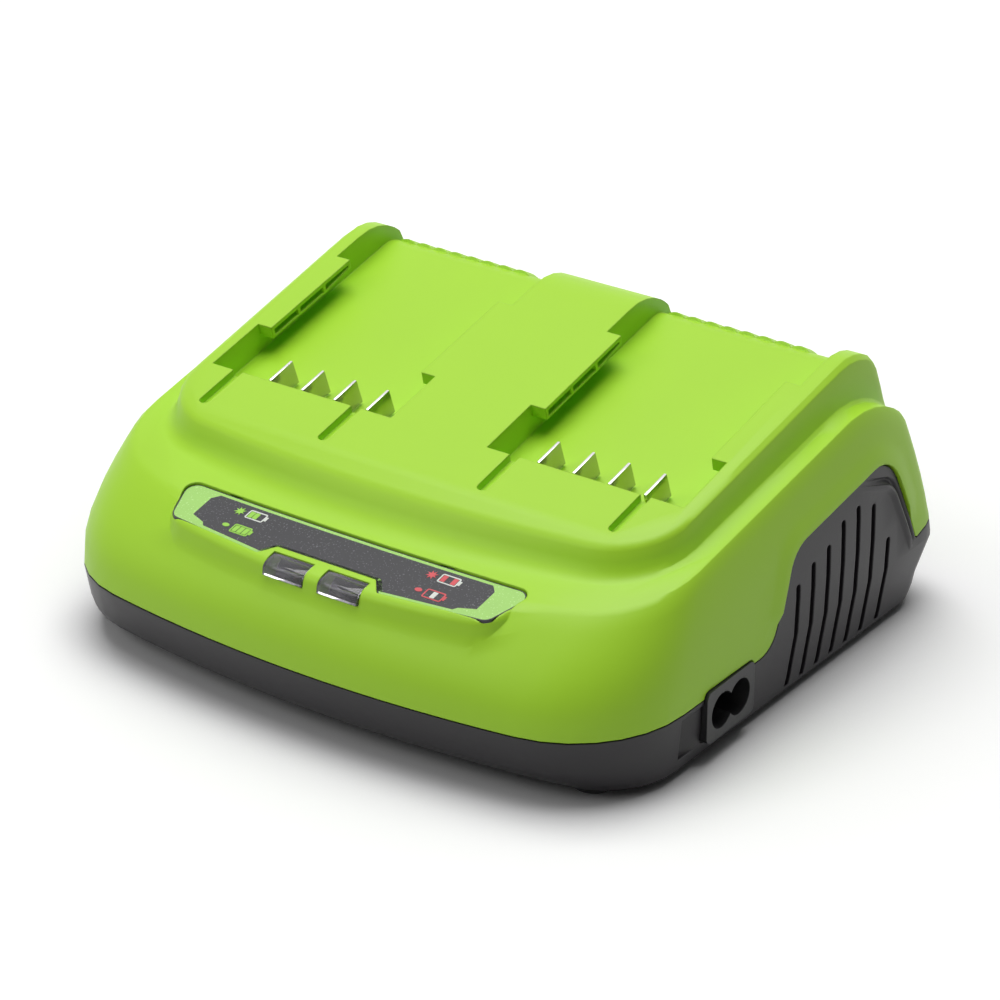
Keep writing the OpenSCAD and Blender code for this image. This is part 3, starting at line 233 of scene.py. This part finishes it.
# Painted shadow: this occlusion node darkens the floor's glow close to the object
painted_shadow_ao = tree.nodes.new("ShaderNodeAmbientOcclusion")
painted_shadow_ao.samples = 8
painted_shadow_ao.inputs["Distance"].default_value = PAINTED_SHADOW_REACH
place = tree.nodes.new("ShaderNodeTexCoord")
reach = tree.nodes.new("ShaderNodeVectorMath")
reach.operation = "LENGTH"
far = tree.nodes.new("ShaderNodeMapRange")
for socket, value in {"From Min": NEAR, "From Max": FAR, "To Min": GLOW, "To Max": 1.0}.items():
    far.inputs[socket].default_value = value
fade, glow, seen = (tree.nodes.new("ShaderNodeMath") for _ in range(3))
fade.operation, glow.operation, seen.operation = "POWER", "MULTIPLY", "MULTIPLY"
fade.inputs[1].default_value = PAINTED_SHADOW_POWER
wires = (
    (place.outputs["Object"], reach.inputs[0]),
    (reach.outputs["Value"], far.inputs["Value"]),
    (painted_shadow_ao.outputs["AO"], fade.inputs[0]),
    (fade.outputs[0], glow.inputs[0]),
    (far.outputs["Result"], glow.inputs[1]),
    (glow.outputs[0], seen.inputs[0]),
    (white_to_eyes(tree), seen.inputs[1]),
    (seen.outputs[0], shader.inputs["Emission Strength"]),
)
for start, end in wires:
    tree.links.new(start, end)
floor_mesh.materials.append(sweep)

AMBIENT = 0.03
world = bpy.data.worlds.new("studio")
bpy.context.scene.world = world
world.use_nodes = True
tree = world.node_tree
ground = next(n for n in tree.nodes if n.type == "BACKGROUND")
choice = tree.nodes.new("ShaderNodeMix")
choice.data_type = "FLOAT"
choice.inputs[2].default_value, choice.inputs[3].default_value = AMBIENT, 1.0
tree.links.new(white_to_eyes(tree), choice.inputs[0])
tree.links.new(choice.outputs[0], ground.inputs["Strength"])
ground.inputs["Color"].default_value = (1, 1, 1, 1)
print("floor and world ready")

# %% [markdown]
# ## Lamps
#
# Two square area lamps light the object. The large one hangs overhead, a little behind, and gives the
# tops their clear tone and the shadow its soft edge. The smaller one stands at the front left and keeps
# the front from going dark. On a level face they add up to about one, so a colour renders about as it is
# written.

# %% Lamps
def softbox(name, place, aim, size, watts):
    """A square area lamp at a place, turned towards a point."""
    data = bpy.data.lights.new(name, "AREA")
    data.shape, data.size, data.energy = "SQUARE", size, watts
    lamp = bpy.data.objects.new(name, data)
    bpy.context.scene.collection.objects.link(lamp)
    lamp.location = place
    lamp.rotation_mode = "QUATERNION"
    lamp.rotation_quaternion = (Vector(aim) - Vector(place)).to_track_quat("-Z", "Y")


HEART = (0, 0, 0.04)
softbox("overhead", place=(-0.15, 0.20, 1.5), aim=HEART, size=1.2, watts=21.0)
softbox("key", place=(-0.70, -1.05, 1.0), aim=HEART, size=0.9, watts=4.8)

# %% [markdown]
# ## Moulded plastic
#
# Both mouldings are cast against a spark-etched mould, which leaves a fine satin grain. So the finish has
# three scales: a faint cloudiness over centimetres, the grain at a fifth of a millimetre, and edges whose
# light is rounded as a real moulding's edges are. The colour is written once, and its lighter and darker
# sides are shares of it. A noise averages about a half, so half of what it adds to the roughness is taken
# off again.

# %% Plastic finishes
# The size of the clouds in mm, and how much larger than the grain its pits are
CLOUD_SIZE, PIT_SHARE = 28, 4


def moulded(name, color, rough=0.42, grain=0.22, depth=0.012, edge=0.5, cloud=0.05, level=0.5):
    """Grained plastic; grain, bump depth and edge radius in mm, and `cloud` the spread of the colour."""
    f = Finish(name, Specular_IOR_Level=level)
    clouds = f.noise(CLOUD_SIZE * MM, 3)
    fine = f.noise(grain * MM, 2)
    pits = f.noise(grain * PIT_SHARE * MM, 1)
    f.bump(fine + pits * 0.5, depth * MM, f.rounded_edges(edge * MM))
    return f.paint(
        Base_Color=f.blend(clouds * 0.7 + fine * 0.3, shaded(color, 1 - cloud), shaded(color, 1 + cloud)),
        Roughness=fine * 0.1 + clouds * 0.08 + (rough - 0.09))


LIME = (0.410, 0.745, 0.030, 1)
CHARCOAL = (0.0145, 0.0128, 0.0152, 1)
SOCKET_BLACK = (0.014, 0.014, 0.015, 1)
lime = moulded("lime_cover", LIME, cloud=0.03, level=0.38)
charcoal = moulded("charcoal_tray", CHARCOAL, rough=0.40, depth=0.014, cloud=0.08, level=0.44)
black = moulded("black_socket", SOCKET_BLACK, rough=0.36, depth=0.008, edge=0.25, cloud=0.1)
print("plastics:", lime.name, charcoal.name, black.name)

# %% [markdown]
# ## Smooth skins
#
# A construction model arrives as loose flat triangles. For a curved moulding each part is copied, its
# doubled corners are merged, and only real edges are kept sharp, so that the light runs smoothly over the
# curves. The copy keeps every dimension and replaces its part.

# %% Smooth skins of the mouldings
# Corners closer than WELD mm are one, and edges shorter than SLIVER mm go
WELD, SLIVER = 0.02, 0.001
# Edges that turn more than SHARP degrees stay sharp, and those over CORNER degrees get a round
SHARP, CORNER = 30, 35


def finished(name, mesh, body, slot, *materials, stands_for=()):
    """An object for a finished mesh, riding on its body."""
    for m in materials:
        mesh.materials.append(m)
    piece = bpy.data.objects.new(name, mesh)
    bpy.context.scene.collection.objects.link(piece)
    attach(piece, body)
    if stands_for:
        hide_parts(*stands_for)
    return piece


def merged(node, flat=0.05):
    """A bmesh of a part: doubled corners are merged, and faces within `flat` degrees are joined."""
    bm = bmesh.new()
    bm.from_mesh(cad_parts[node].data)
    bmesh.ops.remove_doubles(bm, verts=bm.verts, dist=WELD * MM)
    bmesh.ops.dissolve_degenerate(bm, edges=bm.edges, dist=SLIVER * MM)
    bmesh.ops.dissolve_limit(bm, angle_limit=math.radians(flat), verts=bm.verts, edges=bm.edges)
    return bm


def to_mesh(bm, name, sharp=None):
    """The bmesh as a mesh; with `sharp`, edges under that angle shade smoothly."""
    if sharp is not None:
        for face in bm.faces:
            face.smooth = True
        for edge in bm.edges:
            edge.smooth = len(edge.link_faces) == 2 and edge.calc_face_angle() < math.radians(sharp)
    mesh = bpy.data.meshes.new(name)
    bm.to_mesh(mesh)
    bm.free()
    if "custom_normal" in mesh.attributes:
        mesh.attributes.remove(mesh.attributes["custom_normal"])
    return mesh


def rounded(bm, width):
    """Bevels every edge that turns more than CORNER degrees; width in mm."""
    edges = [e for e in bm.edges
             if len(e.link_faces) == 2 and e.calc_face_angle() > math.radians(CORNER)]
    bmesh.ops.bevel(bm, geom=edges, offset=width * MM, affect="EDGES", segments=2, profile=0.5,
                    material=-1, clamp_overlap=True)


def skin(node, name, slot, material, edge=0.0):
    """A smooth copy of a part of the housing, with rounds of `edge` mm if that is given."""
    bm = merged(node)
    if edge:
        rounded(bm, edge)
    mesh = to_mesh(bm, name, SHARP)
    print(name, "faces:", len(mesh.polygons))
    return finished(name, mesh, "housing", slot, material, stands_for=(node,))


skin("top_cover", "cover_shell", "cover", lime)
skin("base_tray", "tray_shell", "base", charcoal)
skin("mains_inlet", "inlet_socket", "inlet", black)

# %% [markdown]
# ## Nickel blades
#
# The contact blades are stamped strip with a bright nickel plate. Stamping leaves a small round on every
# edge, and that round is what catches the light as a white line along the top. So each blade is copied
# with bevelled edges, and its metal gets the fine drawn lines of rolled strip. Its two wide sides get a
# darker colour: painted shade for the other blades and the bay that they face.

# %% Metal finishes
def metal(name, color, rough=0.2, lines=(1, 1, 1), depth=0.003, edge=0.12, faces=1.0):
    """Metal whose grain runs along the smallest of `lines`.

    Its faces that look along x keep the share `faces` of its colour, as a painted shade.
    """
    f = Finish(name, Metallic=1.0)
    drawn = f.noise(0.5 * MM, 3, stretch=lines)
    stain = f.noise(6 * MM, 2)
    f.bump(drawn, depth * MM, f.rounded_edges(edge * MM))
    tone = f.blend(stain, shaded(color, 0.9), color)
    # Painted shade: faces that look along x get a darker share of the colour
    if faces < 1:
        turn = f.add("ShaderNodeSeparateXYZ", None, {0: f.add("ShaderNodeTexCoord", out="Normal")})
        tone = f.blend(turn.math("ABSOLUTE"), tone, shaded(color, faces))
    return f.paint(Base_Color=tone, Roughness=drawn * 0.12 + (rough - 0.06))


# Painted shade: the nickel's wide sides are darkened to 0.55 of its colour
nickel = metal("bright_nickel", (0.86, 0.85, 0.82, 1), rough=0.20, lines=(4, 0.25, 4), faces=0.55)
pin_steel = metal("pin_nickel", (0.66, 0.65, 0.62, 1), rough=0.25, lines=(0.2, 3, 3))
zinc = metal("zinc_plate", (0.52, 0.52, 0.54, 1), rough=0.34)
aluminium = metal("plain_aluminium", (0.62, 0.63, 0.64, 1), rough=0.38, lines=(3, 3, 0.15))
for side in ("left", "right"):
    skin(f"contact_blades_{side}", f"blades_{side}", "blade", nickel, edge=0.16)
skin("inlet_pins", "socket_pins", "pin", pin_steel, edge=0.1)

# %% [markdown]
# ## Rubber feet and screws
#
# A foot is a soft moulded disc with a worn, dusty face, so its rubber is rough and a little uneven. The
# screws get a rolled rim and a driver socket. Three insets of the head's flat face make them: the first
# raises the face inside its rim, the second draws the socket on it, and the third pushes the socket in.

# %% Feet and screws
def soft(name, color, rough=0.7, grain=0.5, depth=0.02):
    """Rubber with open pores and dust; grain and depth in mm."""
    f = Finish(name, Specular_IOR_Level=0.3)
    pores = f.noise(grain * MM, 3)
    dust = f.noise(7 * MM, 2)
    f.bump(pores, depth * MM)
    return f.paint(Base_Color=f.blend(dust, shaded(color, 0.8), shaded(color, 1.5)),
                   Roughness=pores * 0.15 + rough)


rubber = soft("foot_rubber", (0.020, 0.020, 0.021, 1))
skin("rubber_feet", "feet", "foot", rubber, edge=0.35)


# A head is a round flat face of at least this many square mm
HEAD_AREA = 18
# The rolled rim's width and height, the draft of the socket's wall and the socket's depth, all in mm
ROLL_W, ROLL_H, DRAFT, SOCKET_DEPTH = 0.35, 0.25, 0.12, 1.0


def inset(bm, face, width, height=0.0):
    """Insets one face by a width in metres, and moves it out by a height in metres."""
    bmesh.ops.inset_individual(bm, faces=[face], thickness=width, depth=height, use_even_offset=True)


def screws(node, name, facing, socket=1.5):
    """The screws of a node: `facing` is where their heads look, `socket` the drive's radius in mm."""
    bm = merged(node)
    heads = [f for f in bm.faces if f.normal.dot(Vector(facing)) > 0.99 and len(f.verts) > 12
             and f.calc_area() > HEAD_AREA * MM * MM]
    for head in heads:
        radius = math.sqrt(head.calc_area() / math.pi)
        inset(bm, head, ROLL_W * MM, ROLL_H * MM)
        inset(bm, head, radius - (ROLL_W + socket) * MM)
        inset(bm, head, DRAFT * MM, -SOCKET_DEPTH * MM)
    mesh = to_mesh(bm, name, SHARP)
    print(name, "heads:", len(heads))
    return finished(name, mesh, "housing", "screw", zinc, stands_for=(node,))


screws("housing_screws", "case_screws", (0, 0, -1))
screws("board_screws", "post_screws", (0, 0, 1))
screws("fan_screws", "fan_fixings", (-1, 0, 0), socket=1.3)

# %% [markdown]
# ## The indicator overlay
#
# The overlay is a printed film in a shallow recess. Its colour has four zones: a dark rim, which is
# painted shade for the gap round the film, a thin pale line, the charcoal field, and a pale patch at each
# end. On a mesh these are faces, so the top face is inset twice for the rim and the line, and cut by
# upright planes where the field ends. Each zone then has its own ink.

# %% Inks
def ink(name, color, rough=0.32, level=0.5, specks=None):
    """A printed ink; `specks` is the colour of its fine flakes."""
    f = Finish(name, Specular_IOR_Level=level)
    peel = f.noise(0.7 * MM, 2)
    tone = f.blend(f.noise(9 * MM, 2), shaded(color, 0.95), shaded(color, 1.05))
    if specks:
        grain = f.noise(0.42 * MM, 0)
        flakes = f.add("ShaderNodeValToRGB", {"stops": ((0.69, 0), (0.76, 1))}, {0: grain})
        tone = f.blend(flakes, tone, specks)
    f.bump(peel, 0.004 * MM)
    return f.paint(Base_Color=tone, Roughness=peel * 0.08 + (rough - 0.04))


FIELD, PALE, GAP_SHADE = 0, 1, 2
overlay_inks = (
    ink("field_ink", linear("343338"), level=0.4, specks=linear("66656b")),
    ink("pale_ink", linear("a8dc70"), specks=linear("c4ee96")),
    ink("gap_shade_ink", linear("26282a")),
)

# The rings from the outside in: width in mm, and zone; the outer dark ring is painted gap shade
RINGS = ((0.30, GAP_SHADE), (0.90, PALE))
# The charcoal field's right end from back to front, in mm; the left end is its mirror
FIELD_END = ((39.9, -52.9), (42.7, -56.0), (42.6, -63.1), (38.3, -64.6), (36.2, -67.2))


def field_reach(y):
    """Half width of the field at a depth, in mm."""
    for (x0, y0), (x1, y1) in zip(FIELD_END, FIELD_END[1:]):
        if y >= y1:
            return x0 + (x1 - x0) * (y - y0) / (y1 - y0)
    return FIELD_END[-1][0]


bm = merged("indicator_panel", flat=0.5)
top = max((f for f in bm.faces if f.normal.z > 0.9), key=lambda f: f.calc_area())
face_point, face_normal = top.calc_center_median(), top.normal.copy()
# Painted shade: the film's sides and its outer ring get the dark ink of the shaded gap
for face in bm.faces:
    face.material_index = GAP_SHADE
for width, zone in RINGS:
    ring = bmesh.ops.inset_region(bm, faces=[top], thickness=width * MM, use_even_offset=True,
                                  use_boundary=True)
    for face in ring["faces"]:
        face.material_index = zone
top.material_index = FIELD
for side in (-1, 1):
    for (x0, y0), (x1, y1) in zip(FIELD_END, FIELD_END[1:]):
        inner = [f for f in bm.faces if f.material_index == FIELD]
        edges = {e for f in inner for e in f.edges}
        verts = {v for f in inner for v in f.verts}
        along = Vector((side * (x1 - x0), y1 - y0, 0))
        bmesh.ops.bisect_plane(bm, geom=[*inner, *edges, *verts], dist=SLIVER * MM,
                               plane_co=Vector((side * x0, y0, 0)) * MM,
                               plane_no=along.cross(Vector((0, 0, 1))))
for face in [f for f in bm.faces if f.material_index == FIELD]:
    spot = face.calc_center_median() / MM
    if abs(spot.x) > field_reach(spot.y):
        face.material_index = PALE
mesh = to_mesh(bm, "overlay")
tilt = math.degrees(face_normal.angle(Vector((0, 0, 1))))
print("overlay faces:", len(mesh.polygons), "tilt in degrees:", round(tilt, 1))
finished("overlay", mesh, "housing", "panel", *overlay_inks, stands_for=("indicator_panel",))

# %% [markdown]
# ## Marks on the overlay
#
# Four pairs of marks say what the lamps mean: a burst or a dot for the lamp, and a battery beside it.
# They are plain general signs. Each is a thin raised solid: a disc or a rounded plate is made flat at the
# origin, thickened, and then laid on the tilted face.

# %% Marks
WHITE, GREEN, RED = 0, 1, 2
mark_inks = (
    ink("white_ink", linear("e9ece6")),
    ink("green_ink", linear("9fdc4a")),
    ink("red_ink", linear("e0525a")),
)
# How far a mark stands out of the overlay, and how far it reaches in, in mm
LIFT, SINK = 0.07, 0.05
# A burst's mean radius, its points, and the shares of the radius at their tips and at the notches between
BURST_R, POINTS, TIP, NOTCH = 1.2, 8, 1.35, 0.62
# A dot's radius, and its stretch across and along
DOT_R, DOT_STRETCH = 0.75, (1.35, 0.9, 1)
# The battery sign in mm: body, rim and corner; cap and its place; bar and the distance between bars
BODY_W, BODY_D, BODY_RIM, BODY_CORNER = 5.4, 3.3, 0.36, 0.5
CAP_W, CAP_D, CAP_X = 0.6, 1.6, 3.05
BAR_W, BAR_D, BAR_PITCH = 1.3, 2.3, 1.5
SMALL_CORNER = 0.12


def lay(bm, verts, x, y, color):
    """Thickens flat faces and lays them on the overlay at x and y in mm."""
    faces = list({f for v in verts for f in v.link_faces})
    made = bmesh.ops.solidify(bm, geom=faces, thickness=(LIFT + SINK) * MM)["geom"]
    verts = list({v for f in faces for v in f.verts}
                 | {v for v in made if isinstance(v, bmesh.types.BMVert)})
    lowest = min(v.co.z for v in verts)
    bmesh.ops.translate(bm, verts=verts, vec=(0, 0, -lowest - SINK * MM))
    aside = face_normal.x * (x * MM - face_point.x) + face_normal.y * (y * MM - face_point.y)
    spot = Matrix.Translation((x * MM, y * MM, face_point.z - aside / face_normal.z))
    tilt = Matrix.Rotation(math.atan2(-face_normal.y, face_normal.z), 4, "X")
    bmesh.ops.transform(bm, matrix=spot @ tilt, verts=verts)
    for face in {f for v in verts for f in v.link_faces}:
        face.material_index = color


def plate(bm, x, y, width, depth, color, corner, ring=0.0):
    """A rounded plate, or with `ring` only its rim."""
    verts = bmesh.ops.create_grid(bm, x_segments=1, y_segments=1, size=0.5 * MM)["verts"]
    bmesh.ops.scale(bm, verts=verts, vec=(width, depth, 1))
    before = set(bm.verts) - set(verts)
    bmesh.ops.bevel(bm, geom=verts, offset=corner * MM, affect="VERTICES", segments=3, profile=0.5,
                    material=-1)
    if ring:
        face = next(f for v in bm.verts if v not in before for f in v.link_faces)
        inset(bm, face, ring * MM)
        bmesh.ops.delete(bm, geom=[face], context="FACES_ONLY")
    lay(bm, [v for v in bm.verts if v not in before], x, y, color)


def burst(bm, x, y, color):
    """A star with short points."""
    verts = bmesh.ops.create_circle(bm, cap_ends=True, segments=2 * POINTS, radius=BURST_R * MM)["verts"]
    for k, v in enumerate(verts):
        v.co *= TIP if k % 2 else NOTCH
    lay(bm, verts, x, y, color)


def dot(bm, x, y, color):
    """A disc, a little wider than deep."""
    verts = bmesh.ops.create_circle(bm, cap_ends=True, segments=20, radius=DOT_R * MM)["verts"]
    bmesh.ops.scale(bm, verts=verts, vec=DOT_STRETCH)
    lay(bm, verts, x, y, color)


def battery(bm, x, y, shell, fill, bars):
    """A battery sign: its rim, its cap, and the given bars of three."""
    plate(bm, x, y, BODY_W, BODY_D, shell, BODY_CORNER, ring=BODY_RIM)
    plate(bm, x + CAP_X, y, CAP_W, CAP_D, shell, SMALL_CORNER)
    for k in bars:
        plate(bm, x + (k - 1) * BAR_PITCH, y, BAR_W, BAR_D, fill, SMALL_CORNER)


bm = bmesh.new()
burst(bm, -32.6, -57.1, GREEN)
battery(bm, -27.6, -57.1, WHITE, GREEN, (0, 1))
dot(bm, -32.4, -63.0, GREEN)
battery(bm, -27.6, -63.2, GREEN, GREEN, (0, 1, 2))
burst(bm, 25.4, -57.1, RED)
battery(bm, 30.4, -57.1, WHITE, RED, (0, 2))
dot(bm, 25.8, -63.1, RED)
battery(bm, 30.4, -63.3, RED, WHITE, (1,))
bmesh.ops.recalc_face_normals(bm, faces=bm.faces)
mesh = to_mesh(bm, "overlay_marks")
print("mark faces:", len(mesh.polygons))
finished("overlay_marks", mesh, "housing", "panel", *mark_inks)

# %% [markdown]
# ## Smoked windows
#
# The two windows are solid plastic that carries the lamps' light out over the pod's edge. They are
# see-through, with a smoky tint: transmission with the index of acrylic, a trace of haze in the
# roughness, and bevelled edges that collect the light.

# %% Windows
def clear(name, tint, rough=0.05):
    """A see-through plastic of a given tint."""
    f = Finish(name, Transmission_Weight=0.95, IOR=1.49)
    flow = f.noise(3 * MM, 2, stretch=(0.4, 1, 1))
    f.bump(flow, 0.002 * MM)
    return f.paint(Base_Color=f.blend(flow, shaded(tint, 0.94), tint),
                   Roughness=flow * 0.06 + (rough - 0.03))


acrylic = clear("smoked_acrylic", (0.42, 0.40, 0.45, 1))
for side in ("left", "right"):
    skin(f"light_window_{side}", f"window_{side}", "window", acrylic, edge=0.15)

# %% [markdown]
# ## The cooling fan
#
# The fan shows between the side vents. A real rotor has a dished hub and swept blades that twist from a
# steep root to a flat tip. One blade starts as a flat grid. Its rows are wound round the shaft at their
# own radius and pitch, it gets its thickness, and turned copies make the set.

# %% Fan rotor
fan_low, fan_high = (Vector(c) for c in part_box("fan_frame"))
hub_heart = (fan_low + fan_high) / 2
# All in mm; the hub reaches from HUB_BACK behind the frame's middle to HUB_FRONT before it
HUB_R, HUB_BACK, HUB_FRONT = 7.5, 3.5, 5.5
# The front's round, the flat ring inside it, and the width and depth of the step down to the dish
HUB_ROUND, HUB_RING, DISH_STEP, DISH_DEPTH = 1.1, 1.4, 0.3, 0.5
SHAFT_R, SHAFT_L, SHAFT_BACK = 1.5, 6, 3.8
BLADES, TIP_R, BLADE_T, ROOT_SINK = 7, 15.2, 0.6, 0.4
# A blade's pitch and sweep in degrees and radians, and half its width in mm; each changes from root to tip
ROOT_PITCH, PITCH_LOSS, SWEEP, ROOT_HALF, HALF_GAIN = 46, 22, 0.22, 3.3, 1.1
hub_back, hub_front = hub_heart.x / MM - HUB_BACK, hub_heart.x / MM + HUB_FRONT

bm = bmesh.new()
bmesh.ops.create_cone(bm, cap_ends=True, segments=48, radius1=HUB_R * MM, radius2=HUB_R * MM,
                      depth=(hub_front - hub_back) * MM)
front_rim = [e for e in bm.edges if all(v.co.z > 0 for v in e.verts)]
bmesh.ops.bevel(bm, geom=front_rim, offset=HUB_ROUND * MM, affect="EDGES", segments=4, profile=0.5,
                material=-1)
front = max(bm.faces, key=lambda f: f.calc_center_median().z)
inset(bm, front, HUB_RING * MM)
inset(bm, front, DISH_STEP * MM, -DISH_DEPTH * MM)
shaft = bmesh.ops.create_cone(bm, cap_ends=True, segments=24, radius1=SHAFT_R * MM,
                              radius2=SHAFT_R * MM, depth=SHAFT_L * MM)["verts"]
bmesh.ops.translate(bm, verts=shaft, vec=(0, 0, -SHAFT_BACK * MM))


def wound(u, v):
    """A point of the first blade: u from root to tip, v across its width, both -1 to 1."""
    share = (u + 1) / 2
    radius = HUB_R - ROOT_SINK + (TIP_R - HUB_R + ROOT_SINK) * share
    pitch = math.radians(ROOT_PITCH - PITCH_LOSS * share)
    half = ROOT_HALF + HALF_GAIN * share
    turn = v * half * math.cos(pitch) / radius + SWEEP * share
    return Vector((radius * math.cos(turn), radius * math.sin(turn), v * half * math.sin(pitch))) * MM


blade = bmesh.ops.create_grid(bm, x_segments=6, y_segments=6, size=1)["verts"]
for vert in blade:
    vert.co = wound(vert.co.x, vert.co.y)
faces = list({f for v in blade for f in v.link_faces})
made = bmesh.ops.solidify(bm, geom=faces, thickness=BLADE_T * MM)["geom"]
first = list(set(faces) | {g for g in made if isinstance(g, bmesh.types.BMFace)})
for k in range(1, BLADES):
    copy = bmesh.ops.duplicate(bm, geom=first)["geom"]
    verts = [g for g in copy if isinstance(g, bmesh.types.BMVert)]
    step = Matrix.Rotation(math.tau * k / BLADES, 3, "Z")
    bmesh.ops.rotate(bm, verts=verts, cent=(0, 0, 0), matrix=step)
middle = Vector(((hub_back + hub_front) / 2 * MM, hub_heart.y, hub_heart.z))
upright = Matrix.Rotation(math.pi / 2, 4, "Y")
bmesh.ops.transform(bm, matrix=Matrix.Translation(middle) @ upright, verts=bm.verts)
bmesh.ops.recalc_face_normals(bm, faces=bm.faces)
fan_black = moulded("fan_black", (0.022, 0.022, 0.024, 1), rough=0.4, depth=0.008, edge=0.2, cloud=0.1)
mesh = to_mesh(bm, "rotor", 35)
print("rotor faces:", len(mesh.polygons), "middle:", [round(v / MM, 1) for v in middle])
finished("rotor", mesh, "fan", "fan", fan_black, stands_for=("fan_rotor",))

# %% [markdown]
# ## Finishes of the parts inside
#
# The parts inside show only as glints behind the vents, but a shared part may be opened, so none of them
# is left plain. Each keeps its construction shape and gets the surface of its real material.

# %% Inner finishes
def coated(name, first, second, size, rough=0.4, detail=2, stretch=None, depth=0.02, **more):
    """A surface whose two tones follow one noise; size and depth in mm."""
    f = Finish(name, **more)
    tone = f.noise(size * MM, detail, stretch=stretch)
    fine = f.noise(0.3 * MM, 2)
    f.bump(tone * 0.6 + fine * 0.4, depth * MM)
    return f.paint(Base_Color=f.blend(tone, first, second), Roughness=fine * 0.12 + (rough - 0.06))


def banded(name, first, second, pitch, direction, rough=0.35, depth=0.05, **more):
    """Turns of tape or wire, `pitch` mm apart along `direction`."""
    f = Finish(name, **more)
    settings = {"wave_type": "BANDS", "bands_direction": direction, "wave_profile": "SIN"}
    values = {"Vector": f.place, "Scale": math.pi / (10 * pitch * MM), "Distortion": 0.4}
    turns = f.add("ShaderNodeTexWave", settings, values, out=1)
    f.bump(turns, depth * MM)
    return f.paint(Base_Color=f.blend(turns, first, second), Roughness=turns * 0.1 + rough)


INNER = {
    coated("solder_mask", (0.012, 0.085, 0.032, 1), (0.030, 0.160, 0.062, 1), 2.2, 0.3, 4, (1, 0.2, 1)):
        ("main_board", "indicator_board"),
    coated("lamp_lens", (0.66, 0.83, 0.55, 1), (0.78, 0.90, 0.68, 1), 1.5, 0.25, Coat_Weight=0.4):
        ("status_lamps",),
    coated("sintered_ferrite", (0.028, 0.027, 0.028, 1), (0.055, 0.052, 0.052, 1), 0.8, 0.62, 4,
           depth=0.05):
        ("transformer_core",),
    banded("winding_tape", (0.55, 0.36, 0.03, 1), (0.72, 0.50, 0.07, 1), 1.6, "Z", Coat_Weight=0.5):
        ("transformer_winding",),
    banded("enamelled_copper", (0.40, 0.14, 0.05, 1), (0.72, 0.34, 0.14, 1), 0.9, "Y", 0.28, 0.12,
           Metallic=0.8):
        ("line_choke",),
    coated("shrink_sleeve", (0.010, 0.012, 0.024, 1), (0.024, 0.028, 0.048, 1), 5, 0.22, 2, (1, 1, 0.3)):
        ("bulk_capacitors",),
    aluminium: ("heatsink_left", "heatsink_right"),
    coated("moulded_epoxy", (0.013, 0.013, 0.014, 1), (0.024, 0.024, 0.026, 1), 0.5, 0.5, 3):
        ("power_transistors", "terminal_block_left", "terminal_block_right"),
    coated("glazed_ceramic", (0.62, 0.57, 0.47, 1), (0.74, 0.70, 0.61, 1), 2.5, 0.16, Coat_Weight=0.6):
        ("fuse",),
    coated("fish_paper", (0.60, 0.57, 0.50, 1), (0.74, 0.72, 0.66, 1), 1.2, 0.75, 4, (0.3, 1, 1), 0.03):
        ("insulation_sheet",),
    coated("blue_insulation", (0.025, 0.09, 0.33, 1), (0.05, 0.15, 0.46, 1), 3, 0.42):
        ("mains_leads",),
    coated("red_insulation", (0.33, 0.014, 0.014, 1), (0.47, 0.028, 0.024, 1), 3, 0.42):
        ("output_leads_left", "output_leads_right"),
    fan_black: ("fan_frame",),
}
for finish, nodes in INNER.items():
    for node in nodes:
        inner_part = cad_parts[node]
        if inner_part.material_slots:
            for holder in inner_part.material_slots:
                holder.material = finish
        else:
            inner_part.data.materials.append(finish)
print("nodes with an inner finish:", sum(len(nodes) for nodes in INNER.values()))
